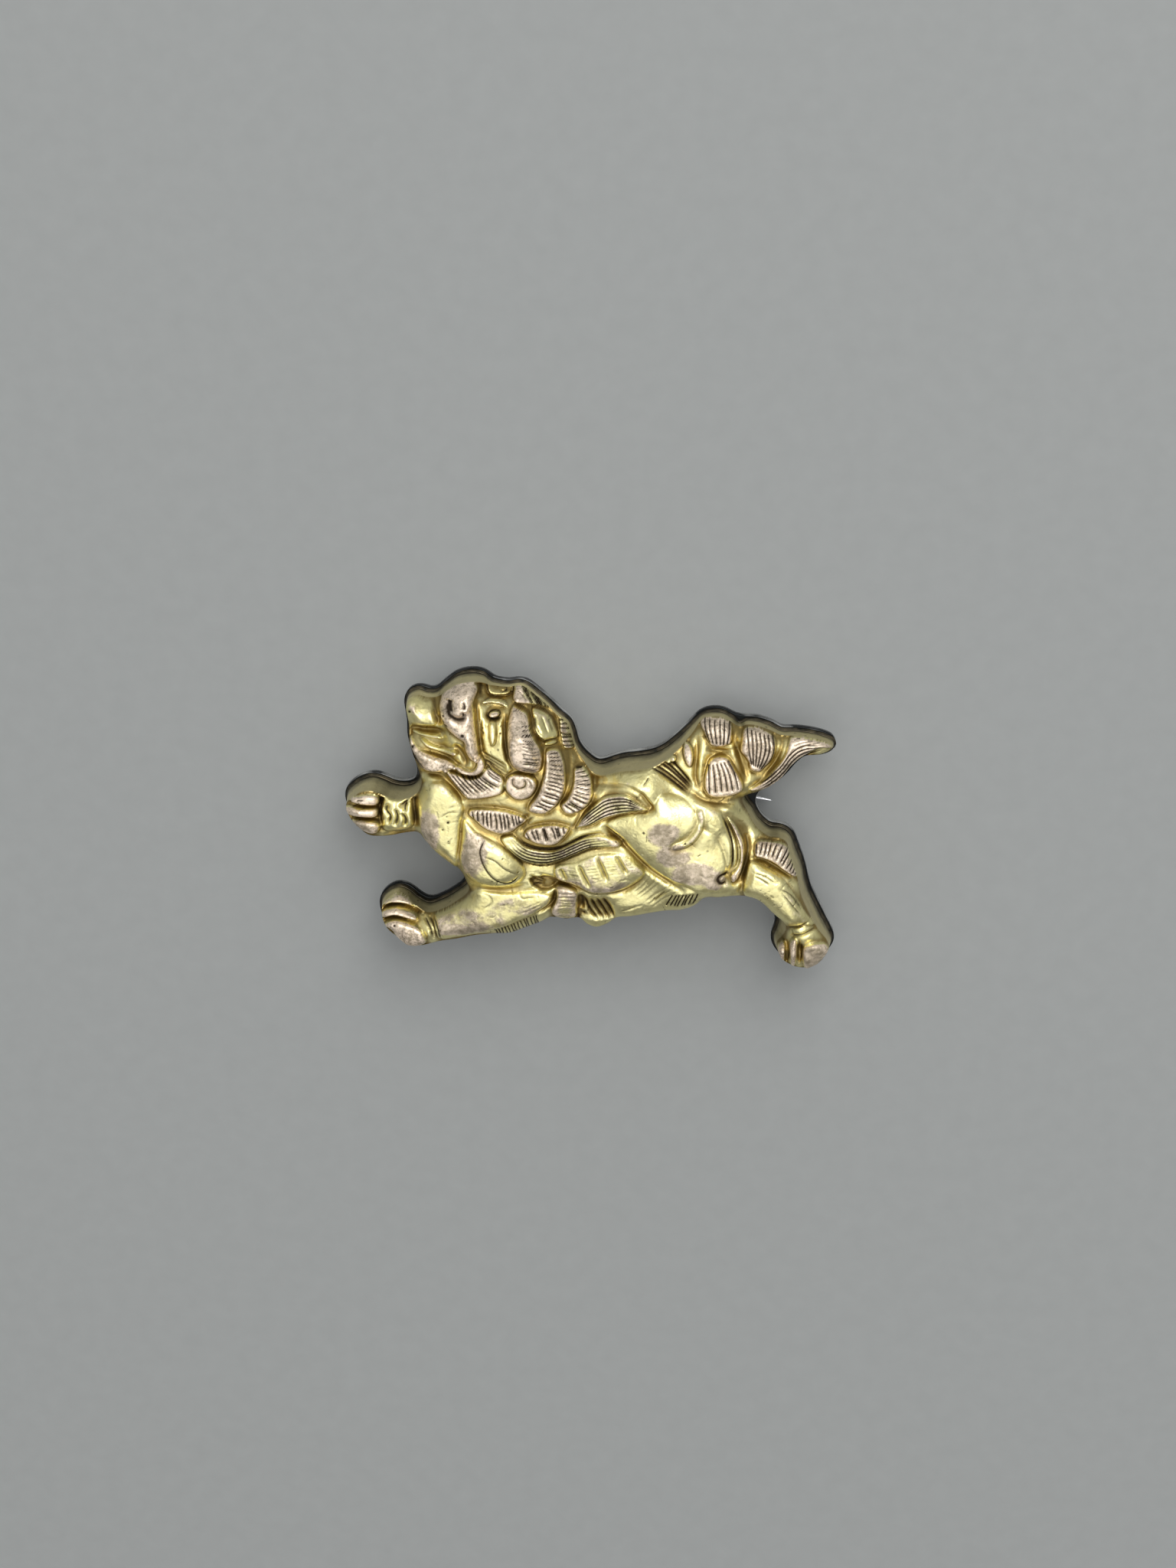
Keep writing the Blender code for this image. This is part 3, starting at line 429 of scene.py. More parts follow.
outer_curl = [(-2.1, 4.8), (-1.75, 4.1), (-1.6, 3.2), (-1.6, 2.0), (-1.95, 0.95), (-2.9, 0.05)]
inner_curl = [(-3.0, 4.7), (-3.1, 3.8), (-3.15, 3.0), (-3.4, 2.1), (-3.75, 1.3), (-4.2, 0.6)]
patch(outer_curl + [(-3.6, -0.05), (-4.25, 0.15)] + inner_curl[::-1], rise=0.5, roll=0.3, rub=0.7,
      seam=0.18)
rungs(outer_curl, inner_curl, 15, inset=(0.03, 0.8), width=0.085, depth=0.16, dark=1.0)
outer_curl = [(-0.4, 3.75), (0.1, 3.2), (0.35, 2.3), (0.3, 1.3), (-0.1, 0.5), (-1.1, 0.0)]
inner_curl = [(-1.0, 3.4), (-1.05, 2.8), (-1.1, 2.2), (-1.3, 1.6), (-1.6, 1.1), (-2.0, 0.7)]
patch(outer_curl + [(-1.7, 0.1)] + inner_curl[::-1], rise=0.5, roll=0.3, rub=0.45, seam=0.18)
rungs(outer_curl, inner_curl, 12, inset=(0.03, 0.92), width=0.085, depth=0.16, dark=1.0)
patch([(-5.75, 2.7), (-5.95, 1.8), (-5.2, 1.0), (-4.15, 1.15), (-3.6, 2.05), (-3.95, 2.8), (-4.85, 3.0)],
      rise=0.45, roll=0.3, rub=0.7, seam_dark=0.6)
line([(-5.3, 2.75), (-5.35, 2.2), (-4.95, 1.9), (-4.5, 2.05), (-4.45, 2.4), (-4.7, 2.6)],
     width=0.1, depth=0.18, dark=0.8, fade=0.1)
line([(-4.4, 2.7), (-4.1, 2.3), (-4.1, 1.8)], width=0.08, depth=0.1, dark=0.6)

lock_top = [(-8.4, 0.2), (-7.5, 0.3), (-6.5, 0.25), (-5.6, 0.1), (-4.8, -0.2)]
lock_low = [(-8.2, -0.6), (-7.4, -1.3), (-6.3, -1.7), (-5.5, -1.5), (-4.6, -0.8)]
patch(lock_top + [(-4.4, -0.5)] + lock_low[::-1] + [(-8.6, -0.2)], rise=0.4, roll=0.35, rub=0.8, seam=0.15)
rungs(lock_top, lock_low, 12, start=0.08, inset=(0.05, 0.85),
      jitter=0.02, width=0.085, depth=0.15, dark=1.0)
lock_top = [(-4.5, -1.35), (-4.0, -1.05), (-3.2, -0.85), (-2.4, -0.8), (-1.6, -0.95)]
lock_low = [(-4.0, -2.2), (-3.4, -2.4), (-2.7, -2.45), (-2.1, -2.2), (-1.5, -1.5)]
patch(lock_top + [(-1.35, -1.1)] + lock_low[::-1] + [(-4.6, -1.8)], rise=0.4, roll=0.3, rub=0.8, seam=0.15)
rungs(lock_top, lock_low, 9, inset=(0.05, 0.8), jitter=0.02, width=0.085, depth=0.15, dark=1.0)
line([(-4.2, -0.1), (-4.7, -0.6), (-5.3, -1.4)], width=0.14, depth=0.15, dark=0.6)
line([(-3.9, -0.3), (-4.4, -0.8), (-4.9, -1.5)], width=0.1, depth=0.12, dark=0.6)

# long locks, flowing back over the ribs
flow_top = [(-5.4, -1.7), (-4.5, -2.5), (-3.3, -2.8), (-2.2, -2.7), (-1.2, -2.2), (-0.2, -1.7), (0.9, -1.5)]
flow_low = [(-6.3, -2.0), (-5.6, -3.0), (-4.6, -3.7), (-3.2, -3.9), (-2.0, -3.6), (-0.9, -3.1),
            (0.3, -2.6), (2.2, -2.4)]
patch(flow_top + [(2.3, -1.9)] + flow_low[::-1], rise=0.3, roll=0.25, rub=0.3, seam=0.12)
strands(flow_top, flow_low, 6, jitter=0.01, width=0.1, depth=0.2, dark=0.95)
flame_top = [(-0.9, -1.0), (-0.3, 0.0), (0.5, 0.8), (1.3, 1.4), (2.6, 1.5), (3.4, 1.05), (4.2, 0.5)]
flame_low = [(-0.7, -1.1), (0.2, -0.85), (1.3, -0.25), (2.7, 0.1), (4.2, 0.3)]
patch(flame_top + flame_low[::-1], rise=0.4, roll=0.25, rub=0.4, seam=0.14)
strands(flame_top, flame_low, 5, skip_ends=True, jitter=0.01, width=0.095, depth=0.18, dark=0.95)
line([(-0.3, 0.6), (0.6, 2.1), (2.2, 2.2), (3.2, 1.9), (4.0, 1.3), (5.0, 0.0)], width=0.16, depth=0.15,
     dark=0.2)
line([(0.4, 4.3), (0.5, 3.0), (0.3, 1.6)], width=0.25, depth=0.3, dark=0.25)
line([(-1.4, 5.0), (-1.3, 3.6), (-1.45, 2.0), (-2.1, 0.7)], width=0.16, depth=0.2, dark=0.3)

# ------------------------------------------------------------------------------------------------
# Embossed front: chest, shoulder and the two forelegs.
# Big plain forms, burnished and then rubbed, with a few curved cuts; the paws have deep slots for toes.

line([(-12.3, 2.9), (-11.4, 2.75), (-10.4, 2.5), (-9.6, 1.6), (-8.8, 0.8)],
     width=0.25, depth=0.35, dark=0.3)
patch([(-11.9, 1.9), (-10.9, 2.2), (-10.0, 2.0), (-9.3, 1.2), (-8.9, 0.3), (-9.1, -0.9), (-9.2, -2.2),
       (-9.4, -3.3), (-9.5, -4.2), (-10.3, -3.7), (-11.1, -3.0), (-11.8, -2.1), (-12.15, -1.0),
       (-12.2, 0.3)], rise=0.35, roll=0.9, seam=0.1, seam_dark=0.1)
line([(-10.6, -0.4), (-9.9, 0.0), (-9.3, 0.0)], width=0.06, depth=0.05, dark=0.5)
for x, y, r in ((-10.0, -0.75, 0.12), (-10.4, -1.3, 0.08), (-10.0, -2.3, 0.06), (-10.1, -0.3, 0.06)):
    pit(x, y, r, 0.08)
patch([(-8.9, -0.6), (-8.0, -1.5), (-6.8, -2.2), (-5.7, -2.9), (-4.7, -3.9), (-4.5, -4.7), (-5.2, -5.4),
       (-6.6, -5.7), (-8.0, -5.4), (-8.9, -4.7), (-9.25, -3.6), (-9.15, -2.0)], rise=0.4, roll=1.0,
      seam=0.06, seam_dark=0.1)
line([(-7.35, -1.9), (-7.7, -2.7), (-7.7, -3.2), (-7.5, -3.9), (-7.0, -4.7), (-6.3, -5.2), (-5.5, -5.2),
      (-4.9, -4.6)], width=0.085, depth=0.1, dark=1.0, fade=0.1)
line([(-7.6, -3.2), (-6.7, -3.55), (-5.9, -4.2), (-4.8, -4.65)], width=0.08, depth=0.08, dark=0.85)
line([(-6.3, -3.2), (-5.8, -3.5), (-5.5, -3.7)], width=0.06, depth=0.05, dark=0.6)

# far foreleg, stretched out ahead
sink([(-15.1, 1.1), (-12.3, 1.3), (-12.1, -1.7), (-15.0, -1.7)], shade_amount=0.4, depth=0.1)
line([(-12.4, 1.3), (-12.5, 0.3), (-12.4, -1.3)], width=0.25, depth=0.4, dark=0.75)
patch([(-14.6, 0.95), (-13.6, 0.9), (-12.8, 1.3), (-12.6, 0.2), (-12.6, -1.2), (-14.0, -1.6),
       (-14.9, -1.4), (-15.0, -0.2)], rise=0.15, roll=0.5, seam=0.1)
for points in ([(-13.0, 0.6), (-13.15, 0.2), (-13.1, -0.1)], [(-13.6, 0.3), (-13.2, 0.5), (-12.9, 0.9)],
               [(-14.3, 0.5), (-14.5, 0.0), (-14.2, -0.5), (-14.4, -1.1)],
               [(-13.4, -0.2), (-13.1, -0.7), (-13.2, -1.2)], [(-13.9, 0.1), (-13.7, -0.5), (-13.9, -1.2)]):
    line(points, width=0.15, depth=0.3, dark=0.8)
for toe in ([(-17.3, 0.75), (-16.4, 1.1), (-15.5, 1.2), (-14.9, 0.95), (-15.1, 0.35), (-16.2, 0.3)],
            [(-17.5, 0.3), (-16.4, 0.15), (-15.2, 0.15), (-15.0, -0.3), (-15.3, -0.6), (-16.4, -0.6),
             (-17.2, -0.4)],
            [(-17.0, -0.7), (-16.2, -0.8), (-15.2, -0.85), (-14.9, -1.3), (-15.3, -1.8), (-16.0, -1.7),
             (-16.7, -1.2)]):
    patch(toe, rise=0.4, roll=0.3, rub=0.5, seam=0.2, seam_dark=0.4)
line([(-17.2, 0.15), (-16.2, 0.25), (-15.0, 0.2)], width=0.1, depth=0.2, dark=0.8)
line([(-17.0, -0.75), (-16.0, -0.7), (-15.0, -0.75)], width=0.1, depth=0.2, dark=0.8)
line([(-15.1, 1.2), (-14.9, 0.6), (-15.0, -0.2), (-14.85, -1.2)], width=0.16, depth=0.3, dark=0.9)
line([(-16.6, 0.75), (-16.0, 0.8)], width=0.08, depth=0.1)

# near foreleg, lying along the bottom
line([(-8.9, -5.6), (-8.0, -5.75), (-6.6, -5.9), (-5.2, -5.75), (-4.3, -5.3)],
     width=0.2, depth=0.2, dark=0.15)
patch([(-8.2, -6.0), (-9.2, -6.7), (-10.3, -7.3), (-11.2, -8.0), (-11.0, -9.7), (-9.5, -9.6), (-8.0, -9.3),
       (-6.4, -8.9), (-4.6, -8.0), (-3.1, -7.2), (-2.6, -6.6), (-2.7, -6.1), (-4.0, -5.9), (-6.0, -6.1)],
      rise=0.3, roll=0.8, seam=0.12, seam_dark=0.2)
line([(-8.1, -6.0), (-7.2, -6.3), (-6.95, -6.8), (-7.5, -7.3)], width=0.07, depth=0.07, dark=0.5)
line([(-5.0, -6.0), (-4.75, -6.4), (-4.3, -6.35), (-3.8, -6.3)], width=0.08, depth=0.08, dark=0.7)
line([(-5.0, -7.6), (-4.2, -7.3), (-3.3, -6.8)], width=0.06, depth=0.05, dark=0.5)
line([(-4.6, -7.2), (-4.0, -6.9), (-3.3, -6.6)], width=0.05, depth=0.04, dark=0.5)
rungs([(-6.9, -8.85), (-5.8, -8.6), (-4.7, -8.1), (-3.6, -7.7)],
      [(-6.6, -9.35), (-5.5, -9.2), (-4.4, -8.8), (-3.4, -8.3)],
      14, width=0.075, depth=0.12, dark=1.0, fade=0.1)
for x in (0.0, 0.35, 0.7):
    line([(-11.9 + x, -8.05), (-11.55 + x * 0.9, -9.0), (-11.25 + x * 0.8, -9.9)], width=0.12, depth=0.22,
         dark=0.85)
sink([(-15.2, -6.2), (-12.5, -6.0), (-11.2, -7.4), (-10.8, -9.9), (-12.0, -9.2), (-12.8, -8.4),
     (-15.1, -8.4)], shade_amount=0.6)
patch([(-14.7, -6.55), (-14.0, -6.15), (-13.2, -6.3), (-12.5, -6.9), (-12.4, -7.5), (-13.2, -7.2),
       (-14.2, -7.15), (-14.9, -7.4)], rise=0.4, roll=0.35, rub=0.2, seam=0.22, seam_dark=0.5)
patch([(-15.0, -7.75), (-14.2, -7.4), (-13.3, -7.45), (-12.5, -7.9), (-12.4, -8.4), (-13.1, -8.3),
       (-14.1, -8.1), (-14.9, -8.3)], rise=0.4, roll=0.3, rub=0.3, seam=0.22, seam_dark=0.5)
patch([(-14.85, -8.75), (-14.1, -8.4), (-13.1, -8.55), (-12.3, -8.9), (-11.9, -9.6), (-11.8, -10.1),
       (-12.5, -10.4), (-13.3, -10.3), (-13.9, -9.8), (-14.3, -9.2)], rise=0.35, roll=0.4, rub=0.8,
      seam=0.15)
line([(-15.0, -7.35), (-14.2, -7.25), (-13.3, -7.3)], width=0.12, depth=0.25, dark=0.9)
line([(-15.0, -8.35), (-14.1, -8.25), (-13.2, -8.4)], width=0.1, depth=0.2, dark=0.8)
line([(-13.4, -8.9), (-13.5, -9.5), (-13.3, -10.1)], width=0.07, depth=0.1, dark=0.7)
pit(-14.05, -8.75, 0.12)
line([(-12.5, -6.4), (-12.1, -7.2), (-12.3, -7.9)], width=0.3, depth=0.4, dark=0.6)

# ------------------------------------------------------------------------------------------------
# Embossed front: ribs, belly and the elbow.
# The ribs are broad slanting troughs over fine cross strokes, and the belly folds away below them.

patch([(-2.4, -4.0), (-0.9, -3.6), (0.6, -3.0), (2.4, -2.9), (3.4, -3.6), (4.1, -4.4), (3.3, -5.3),
       (1.9, -5.9), (0.4, -6.05), (-0.9, -5.6), (-2.2, -5.1)], rise=0.25, roll=0.7, rub=0.3, seam=0.08,
      seam_dark=0.1)
for points in ([(-2.0, -4.1), (-1.8, -4.6), (-1.6, -5.0)], [(-0.7, -3.8), (-0.3, -4.7), (0.2, -5.6)],
               [(0.6, -3.1), (1.0, -4.0), (1.4, -5.0)], [(2.0, -3.0), (2.4, -3.7), (2.8, -4.4)]):
    line(points, width=0.16, depth=0.25, dark=0.6)
for left, right in (([(-1.5, -4.0), (-1.2, -5.0)], [(-0.8, -4.1), (-0.4, -5.1)]),
                    ([(-0.3, -3.7), (0.3, -5.2)], [(0.5, -3.6), (1.1, -5.0)]),
                    ([(1.0, -3.3), (1.6, -4.6)], [(1.8, -3.3), (2.4, -4.5)]),
                    ([(2.3, -3.0), (2.9, -4.0)], [(3.0, -3.2), (3.4, -4.0)])):
    rungs(left, right, 7, width=0.05, depth=0.05, dark=0.5)
line([(-3.9, -4.5), (-3.0, -4.8), (-2.2, -5.15), (-0.8, -5.6), (0.4, -6.1), (2.0, -5.95), (3.2, -5.4),
      (4.2, -4.4)], width=0.2, depth=0.25, dark=0.35)
sink([(-4.3, -5.0), (-3.8, -4.8), (-2.9, -4.75), (-2.0, -5.1), (-1.2, -5.5), (-2.2, -5.65), (-2.8, -5.95),
      (-3.5, -5.9), (-4.0, -5.6)], depth=0.5, shade_amount=1.0, dark=0.5, soft=0.2)
strands([(-4.2, -4.7), (-3.6, -5.0), (-3.1, -5.3)], [(-4.1, -5.5), (-3.7, -5.5), (-3.2, -5.5)],
        3, width=0.1, depth=0.15, dark=0.85)
line([(-2.45, -5.4), (-2.3, -6.0), (-2.5, -6.7), (-3.1, -7.2), (-3.7, -7.6)],
     width=0.14, depth=0.25, dark=0.65)
patch([(-2.3, -5.5), (-1.5, -5.5), (-0.8, -5.9), (-0.7, -6.9), (-0.9, -7.8), (-2.2, -7.9), (-2.7, -7.4),
       (-2.4, -6.6)], rise=0.3, roll=0.35, rub=0.4, seam=0.2, seam_dark=0.4)
rungs([(-2.1, -6.0), (-2.2, -6.9), (-2.3, -7.8)], [(-0.9, -6.0), (-0.8, -6.9), (-1.0, -7.8)], 8, width=0.06,
      depth=0.08, dark=0.5)
sink([(-0.9, -6.2), (0.4, -6.3), (1.6, -6.2), (2.0, -7.6), (1.2, -8.0), (-0.4, -7.9), (-0.9, -7.6)],
     shade_amount=0.9)
strands([(-0.3, -6.3), (0.1, -7.2), (0.7, -8.0)], [(1.0, -6.3), (1.5, -7.0), (1.9, -7.8)], 4, width=0.13,
        depth=0.25, dark=0.85)
line([(2.3, -7.3), (2.9, -7.15), (3.4, -6.95)], width=0.08, depth=0.08, dark=0.7)
line([(4.7, -6.5), (5.1, -6.1), (5.6, -5.6)], width=0.09, depth=0.1, dark=0.7)
line([(-0.7, -6.2), (-0.4, -6.5), (-0.5, -7.2)], width=0.25, depth=0.35, dark=0.7)
for x, y, r in ((-0.7, -7.8, 0.13), (-1.6, -8.0, 0.1), (-0.3, -7.5, 0.1)):
    pit(x, y, r)
strands([(4.6, -4.5), (4.0, -5.3), (3.3, -5.9)], [(6.6, -5.6), (5.4, -6.2), (4.6, -6.9)], 6, jitter=0.03,
        width=0.08, depth=0.08, dark=0.5)
line([(2.2, -7.1), (3.1, -7.0), (3.9, -6.8)], width=0.08, depth=0.06, dark=0.4)
rungs([(6.1, -5.95), (7.0, -5.9), (8.0, -5.8)], [(5.6, -6.8), (6.6, -6.85), (7.6, -6.6)], 8, width=0.085,
      depth=0.14, dark=1.0, fade=0.1)

# ------------------------------------------------------------------------------------------------
# Embossed front: haunch and hind leg.
# The haunch is the highest and smoothest swelling, so it has lost the most gilding; two ribbons of hair
# hang over it, and the leg ends in a paw like the others.

haunch_front = [(1.0, -0.8), (2.3, -2.0), (3.6, -3.4), (4.6, -4.3), (6.0, -5.2), (7.0, -5.8)]
line(haunch_front, width=0.2, depth=0.4, dark=0.3)
line([(1.2, -0.85), (1.8, -1.4), (2.3, -1.95)], width=0.09, depth=0.12, dark=0.6)
sink([(8.8, 0.9), (11.4, -0.3), (12.0, -3.0), (11.7, -5.0), (10.7, -5.7), (10.6, -3.8), (10.0, -1.0)],
     shade_amount=0.8, depth=0.2)
patch([(1.3, -0.7), (2.6, 0.1), (4.4, 0.4), (5.2, 1.6), (6.6, 1.5), (7.6, 0.5), (8.1, -0.8), (9.2, -1.6),
       (9.8, -3.0), (9.9, -4.4), (9.4, -5.6), (8.2, -5.8), (7.0, -5.3), (5.8, -4.8), (4.6, -4.0),
       (3.5, -3.0), (2.4, -1.8)], rise=0.2, roll=1.2, seam=0.08, seam_dark=0.1)
patch([(8.15, 0.5), (8.3, -0.6), (7.75, -1.7), (7.0, -2.3), (6.1, -2.5), (6.15, -2.1), (6.8, -1.8),
       (7.35, -1.35), (7.8, -0.5), (7.65, 0.3)], rise=0.1, roll=0.3, rub=0.3, seam=0.12, seam_dark=0.3)
patch([(9.9, 0.0), (10.5, -0.6), (11.05, -1.7), (11.15, -3.0), (11.0, -4.2), (10.4, -4.9), (10.2, -4.3),
       (10.75, -3.6), (10.85, -2.4), (10.4, -1.1)], rise=0.35, roll=0.25, rub=0.7, seam=0.14, seam_dark=0.5)
line([(9.4, 0.35), (9.97, -0.95), (10.3, -2.05), (10.32, -3.4), (10.1, -4.1)], width=0.12, depth=0.26,
     dark=0.95)
line([(9.75, -0.1), (10.3, -1.1), (10.65, -2.3), (10.65, -3.4), (10.3, -3.95)],
     width=0.09, depth=0.18, dark=0.8)
line([(11.25, -1.2), (11.4, -2.4), (11.25, -3.6), (10.9, -4.6), (10.4, -5.2)],
     width=0.2, depth=0.4, dark=0.7)
line([(10.0, -4.2), (9.5, -4.4), (9.3, -4.7), (9.5, -5.0), (9.9, -4.9)], width=0.15, depth=0.25, dark=1.0,
     fade=0.08)
line([(3.85, 2.2), (4.1, 2.5), (4.35, 2.95)], width=0.08, depth=0.08, dark=0.8)
line([(3.7, 1.8), (4.2, 1.0), (4.7, 0.4)], width=0.14, depth=0.12, dark=0.3)
line([(2.3, 3.2), (2.35, 2.8)], width=0.05, depth=0.05, dark=0.5)

tuft_top = [(11.95, -1.75), (12.7, -1.58), (13.7, -1.7), (14.35, -2.1), (14.95, -3.0), (15.1, -3.9)]
tuft_low = [(11.9, -2.75), (12.45, -2.98), (13.15, -3.25), (13.9, -3.8), (14.6, -4.25), (14.95, -4.35)]
patch(tuft_top + tuft_low[::-1], rise=0.4, roll=0.25, rub=0.7, seam=0.18, seam_dark=0.5)
rungs(tuft_top, tuft_low, 12, inset=(0.0, 0.85), width=0.085, depth=0.15, dark=1.0)
line([(11.6, -3.05), (12.5, -3.2), (13.4, -3.7), (14.3, -4.35), (14.9, -4.9)],
     width=0.14, depth=0.22, dark=0.6)
patch([(11.6, -3.3), (12.8, -3.7), (13.9, -4.5), (14.8, -5.7), (15.6, -6.9), (16.3, -7.9), (15.4, -8.1),
       (14.4, -8.2), (13.7, -7.6), (12.9, -6.8), (12.1, -6.2), (11.2, -5.8), (11.2, -4.4)], rise=0.35,
      roll=0.8, seam=0.1)
for points in ([(11.7, -3.95), (12.7, -4.3), (13.5, -4.85)], [(11.9, -4.25), (12.4, -4.5), (13.0, -4.9)],
               [(13.6, -5.15), (14.5, -5.65), (15.4, -6.85)], [(13.9, -5.5), (14.8, -6.6), (15.3, -7.2)]):
    line(points, width=0.09, depth=0.11, dark=0.8)
for x, y in ((12.4, -5.3), (12.7, -5.6), (13.0, -5.4), (12.9, -5.9), (13.4, -6.4), (13.7, -6.7)):
    pit(x, y, 0.05, 0.04)
# ankle and paw
line([(14.2, -8.3), (15.2, -8.15), (15.95, -7.55)], width=0.13, depth=0.24, dark=0.7)
line([(14.5, -8.95), (15.5, -8.8), (16.5, -8.15)], width=0.13, depth=0.24, dark=0.7)
line([(14.65, -8.35), (14.75, -8.65), (14.8, -8.95)], width=0.1, depth=0.15, dark=0.6)
sink([(13.6, -8.1), (16.2, -7.7), (17.1, -8.6), (17.3, -9.5), (15.5, -9.6), (13.6, -9.6)],
     shade_amount=0.4, depth=0.08)
for toe in ([(13.7, -9.6), (14.05, -9.1), (14.25, -9.8), (14.2, -10.7), (14.0, -11.0), (13.7, -10.4)],
            [(14.5, -9.5), (14.95, -9.1), (15.1, -10.0), (15.0, -11.0), (14.7, -11.2), (14.55, -10.4)],
            [(15.5, -9.8), (16.2, -9.4), (17.1, -9.3), (17.4, -9.9), (17.0, -10.7), (16.3, -11.2),
             (15.7, -11.4), (15.5, -10.6)]):
    patch(toe, rise=0.35, roll=0.3, rub=0.6, seam=0.16, seam_dark=0.3)
for x in (14.35, 15.25):
    sink([(x - 0.05, -9.1), (x + 0.15, -9.7), (x + 0.2, -10.5), (x + 0.05, -11.1), (x - 0.15, -10.6),
          (x - 0.15, -9.7)], depth=0.25, shade_amount=1.0, soft=0.12, dark=0.4)
    line([(x + 0.12, -9.3), (x + 0.2, -10.1), (x + 0.1, -10.9)], width=0.07, depth=0.12, dark=0.9)

# ------------------------------------------------------------------------------------------------
# Embossed front: the tail.
# It springs from the rump in twisted strands and opens into three upright tufts and a blown-back tip.

sink([(4.2, 4.1), (5.6, 5.0), (7.6, 7.4), (10.4, 7.6), (13.7, 6.8), (14.1, 5.2), (12.6, 2.8), (11.0, 1.2),
      (8.4, 0.7), (6.6, 1.8)], shade_amount=0.7)
strands([(4.2, 3.8), (5.6, 2.9), (7.2, 1.6)], [(5.6, 4.3), (6.5, 3.4), (7.4, 2.3)],
        5, jitter=0.02, width=0.12, depth=0.25, dark=1.0)
patch([(5.3, 4.4), (5.8, 4.65), (6.25, 4.4), (6.1, 4.0), (5.6, 3.9)], rise=0.3, roll=0.2, seam_dark=0.7)
patch([(6.85, 5.6), (7.3, 5.2), (7.45, 4.4), (7.3, 3.7), (6.95, 3.9), (6.7, 4.8)], rise=0.35, roll=0.2,
      rub=0.7, seam_dark=0.6)
line([(7.7, 6.0), (7.7, 4.5), (7.6, 3.0), (7.9, 1.8)], width=0.2, depth=0.3, dark=0.35)
line([(7.2, 2.0), (8.3, 1.1), (9.8, 0.95), (11.0, 1.5)], width=0.25, depth=0.3, dark=0.35)
line([(8.3, 5.0), (9.3, 4.85), (10.4, 4.95)], width=0.18, depth=0.2, dark=0.3)

# each tuft: its outline, the first and last of the cuts down it, and how many
tufts = [
    ([(7.85, 7.05), (8.2, 7.5), (9.0, 7.6), (9.7, 7.42), (10.1, 7.0), (10.15, 6.15), (10.05, 5.45),
      (9.25, 5.2), (8.7, 5.3), (8.4, 5.65), (8.15, 6.25)],
     [(8.2, 7.45), (8.25, 6.6), (8.6, 5.5)], [(9.95, 7.2), (9.95, 6.3), (9.8, 5.35)], 6),
    ([(8.6, 4.3), (9.2, 4.62), (9.75, 4.55), (10.05, 4.3), (10.45, 3.6), (10.95, 2.65), (10.95, 2.05),
      (10.5, 1.72), (9.7, 1.5), (8.75, 1.5), (8.3, 1.97), (8.2, 2.7), (8.35, 3.55)],
     [(8.55, 4.0), (8.6, 3.0), (8.65, 1.8)], [(9.85, 4.35), (10.4, 3.3), (10.7, 2.1)], 6),
    ([(10.9, 6.55), (11.27, 6.85), (12.03, 6.88), (12.73, 6.45), (13.14, 6.0), (13.27, 5.35), (13.1, 4.5),
      (12.65, 3.88), (12.08, 3.4), (11.44, 3.6), (11.3, 4.1), (11.02, 4.57), (10.72, 4.93), (10.8, 5.7)],
     [(11.2, 6.8), (11.3, 5.7), (11.4, 4.9), (11.6, 3.95)],
     [(12.95, 6.25), (13.12, 5.2), (12.85, 4.3), (12.3, 3.6)], 7)]
for outline, first_cut, last_cut, cuts in tufts:
    patch(outline, rise=0.5, roll=0.4, rub=0.85, seam=0.2, seam_dark=0.35)
    strands(first_cut, last_cut, cuts, jitter=0.012, width=0.08, depth=0.15, dark=1.0, fade=0.05)
patch([(14.1, 5.6), (14.3, 6.15), (15.05, 6.25), (16.1, 5.97), (17.1, 5.6), (17.15, 5.35), (16.2, 5.25),
       (15.5, 4.85), (14.95, 4.5), (14.6, 4.05), (14.2, 3.3), (13.5, 2.6), (12.7, 2.2), (11.4, 2.0),
       (12.2, 2.7), (13.1, 3.6), (13.8, 4.6)], rise=0.3, roll=0.3, rub=0.6, seam=0.15)
strands([(11.5, 2.2), (12.6, 2.9), (13.6, 3.9), (14.3, 4.9), (15.2, 5.5), (16.9, 5.55)],
        [(11.9, 1.95), (13.0, 2.5), (13.9, 3.3), (14.5, 4.1), (15.3, 4.75), (16.7, 5.2)], 4, width=0.085,
        depth=0.13, dark=0.95)
for points in ([(14.4, 5.85), (14.7, 6.0), (15.1, 6.05)], [(14.4, 5.45), (15.1, 5.75), (15.9, 5.9)],
               [(14.7, 5.25), (15.7, 5.65), (16.6, 5.72)]):
    line(points, width=0.07, depth=0.1, dark=0.8)
line([(13.6, 6.3), (13.65, 5.3), (13.2, 4.1), (12.4, 3.1)], width=0.15, depth=0.2, dark=0.3)
line([(10.45, 6.6), (10.4, 5.4), (10.9, 3.9), (11.3, 2.6)], width=0.25, depth=0.35, dark=0.4)

# rubbed places on the plain forms, dulled again since: centre, half sizes, how bare
for x, y, half_x, half_y, bare in (
        (-11.3, -1.2, 0.8, 1.6, 0.9), (-8.2, -3.0, 1.1, 1.8, 0.75), (5.4, -1.4, 1.3, 1.0, 0.9),
        (6.2, -2.9, 1.4, 1.0, 0.95), (7.6, -4.2, 1.7, 0.9, 1.0), (9.1, -4.7, 1.1, 0.8, 0.9),
        (-8.2, -8.2, 2.6, 1.0, 0.5), (-5.0, -7.0, 2.0, 0.7, 0.55), (-9.6, -8.9, 1.4, 0.5, 0.8),
        (-16.4, -1.2, 0.8, 0.5, 0.6), (1.2, -5.2, 1.8, 0.6, 0.5), (16.2, -10.3, 1.1, 0.8, 0.9)):
    far = ((drawn[:, 0] - x) / half_x) ** 2 + ((drawn[:, 1] - y) / half_y) ** 2
    worn = np.maximum(worn, bare * np.clip(1.4 - far, 0, 1))
    dull = np.maximum(dull, np.clip(1.6 - far, 0, 1))

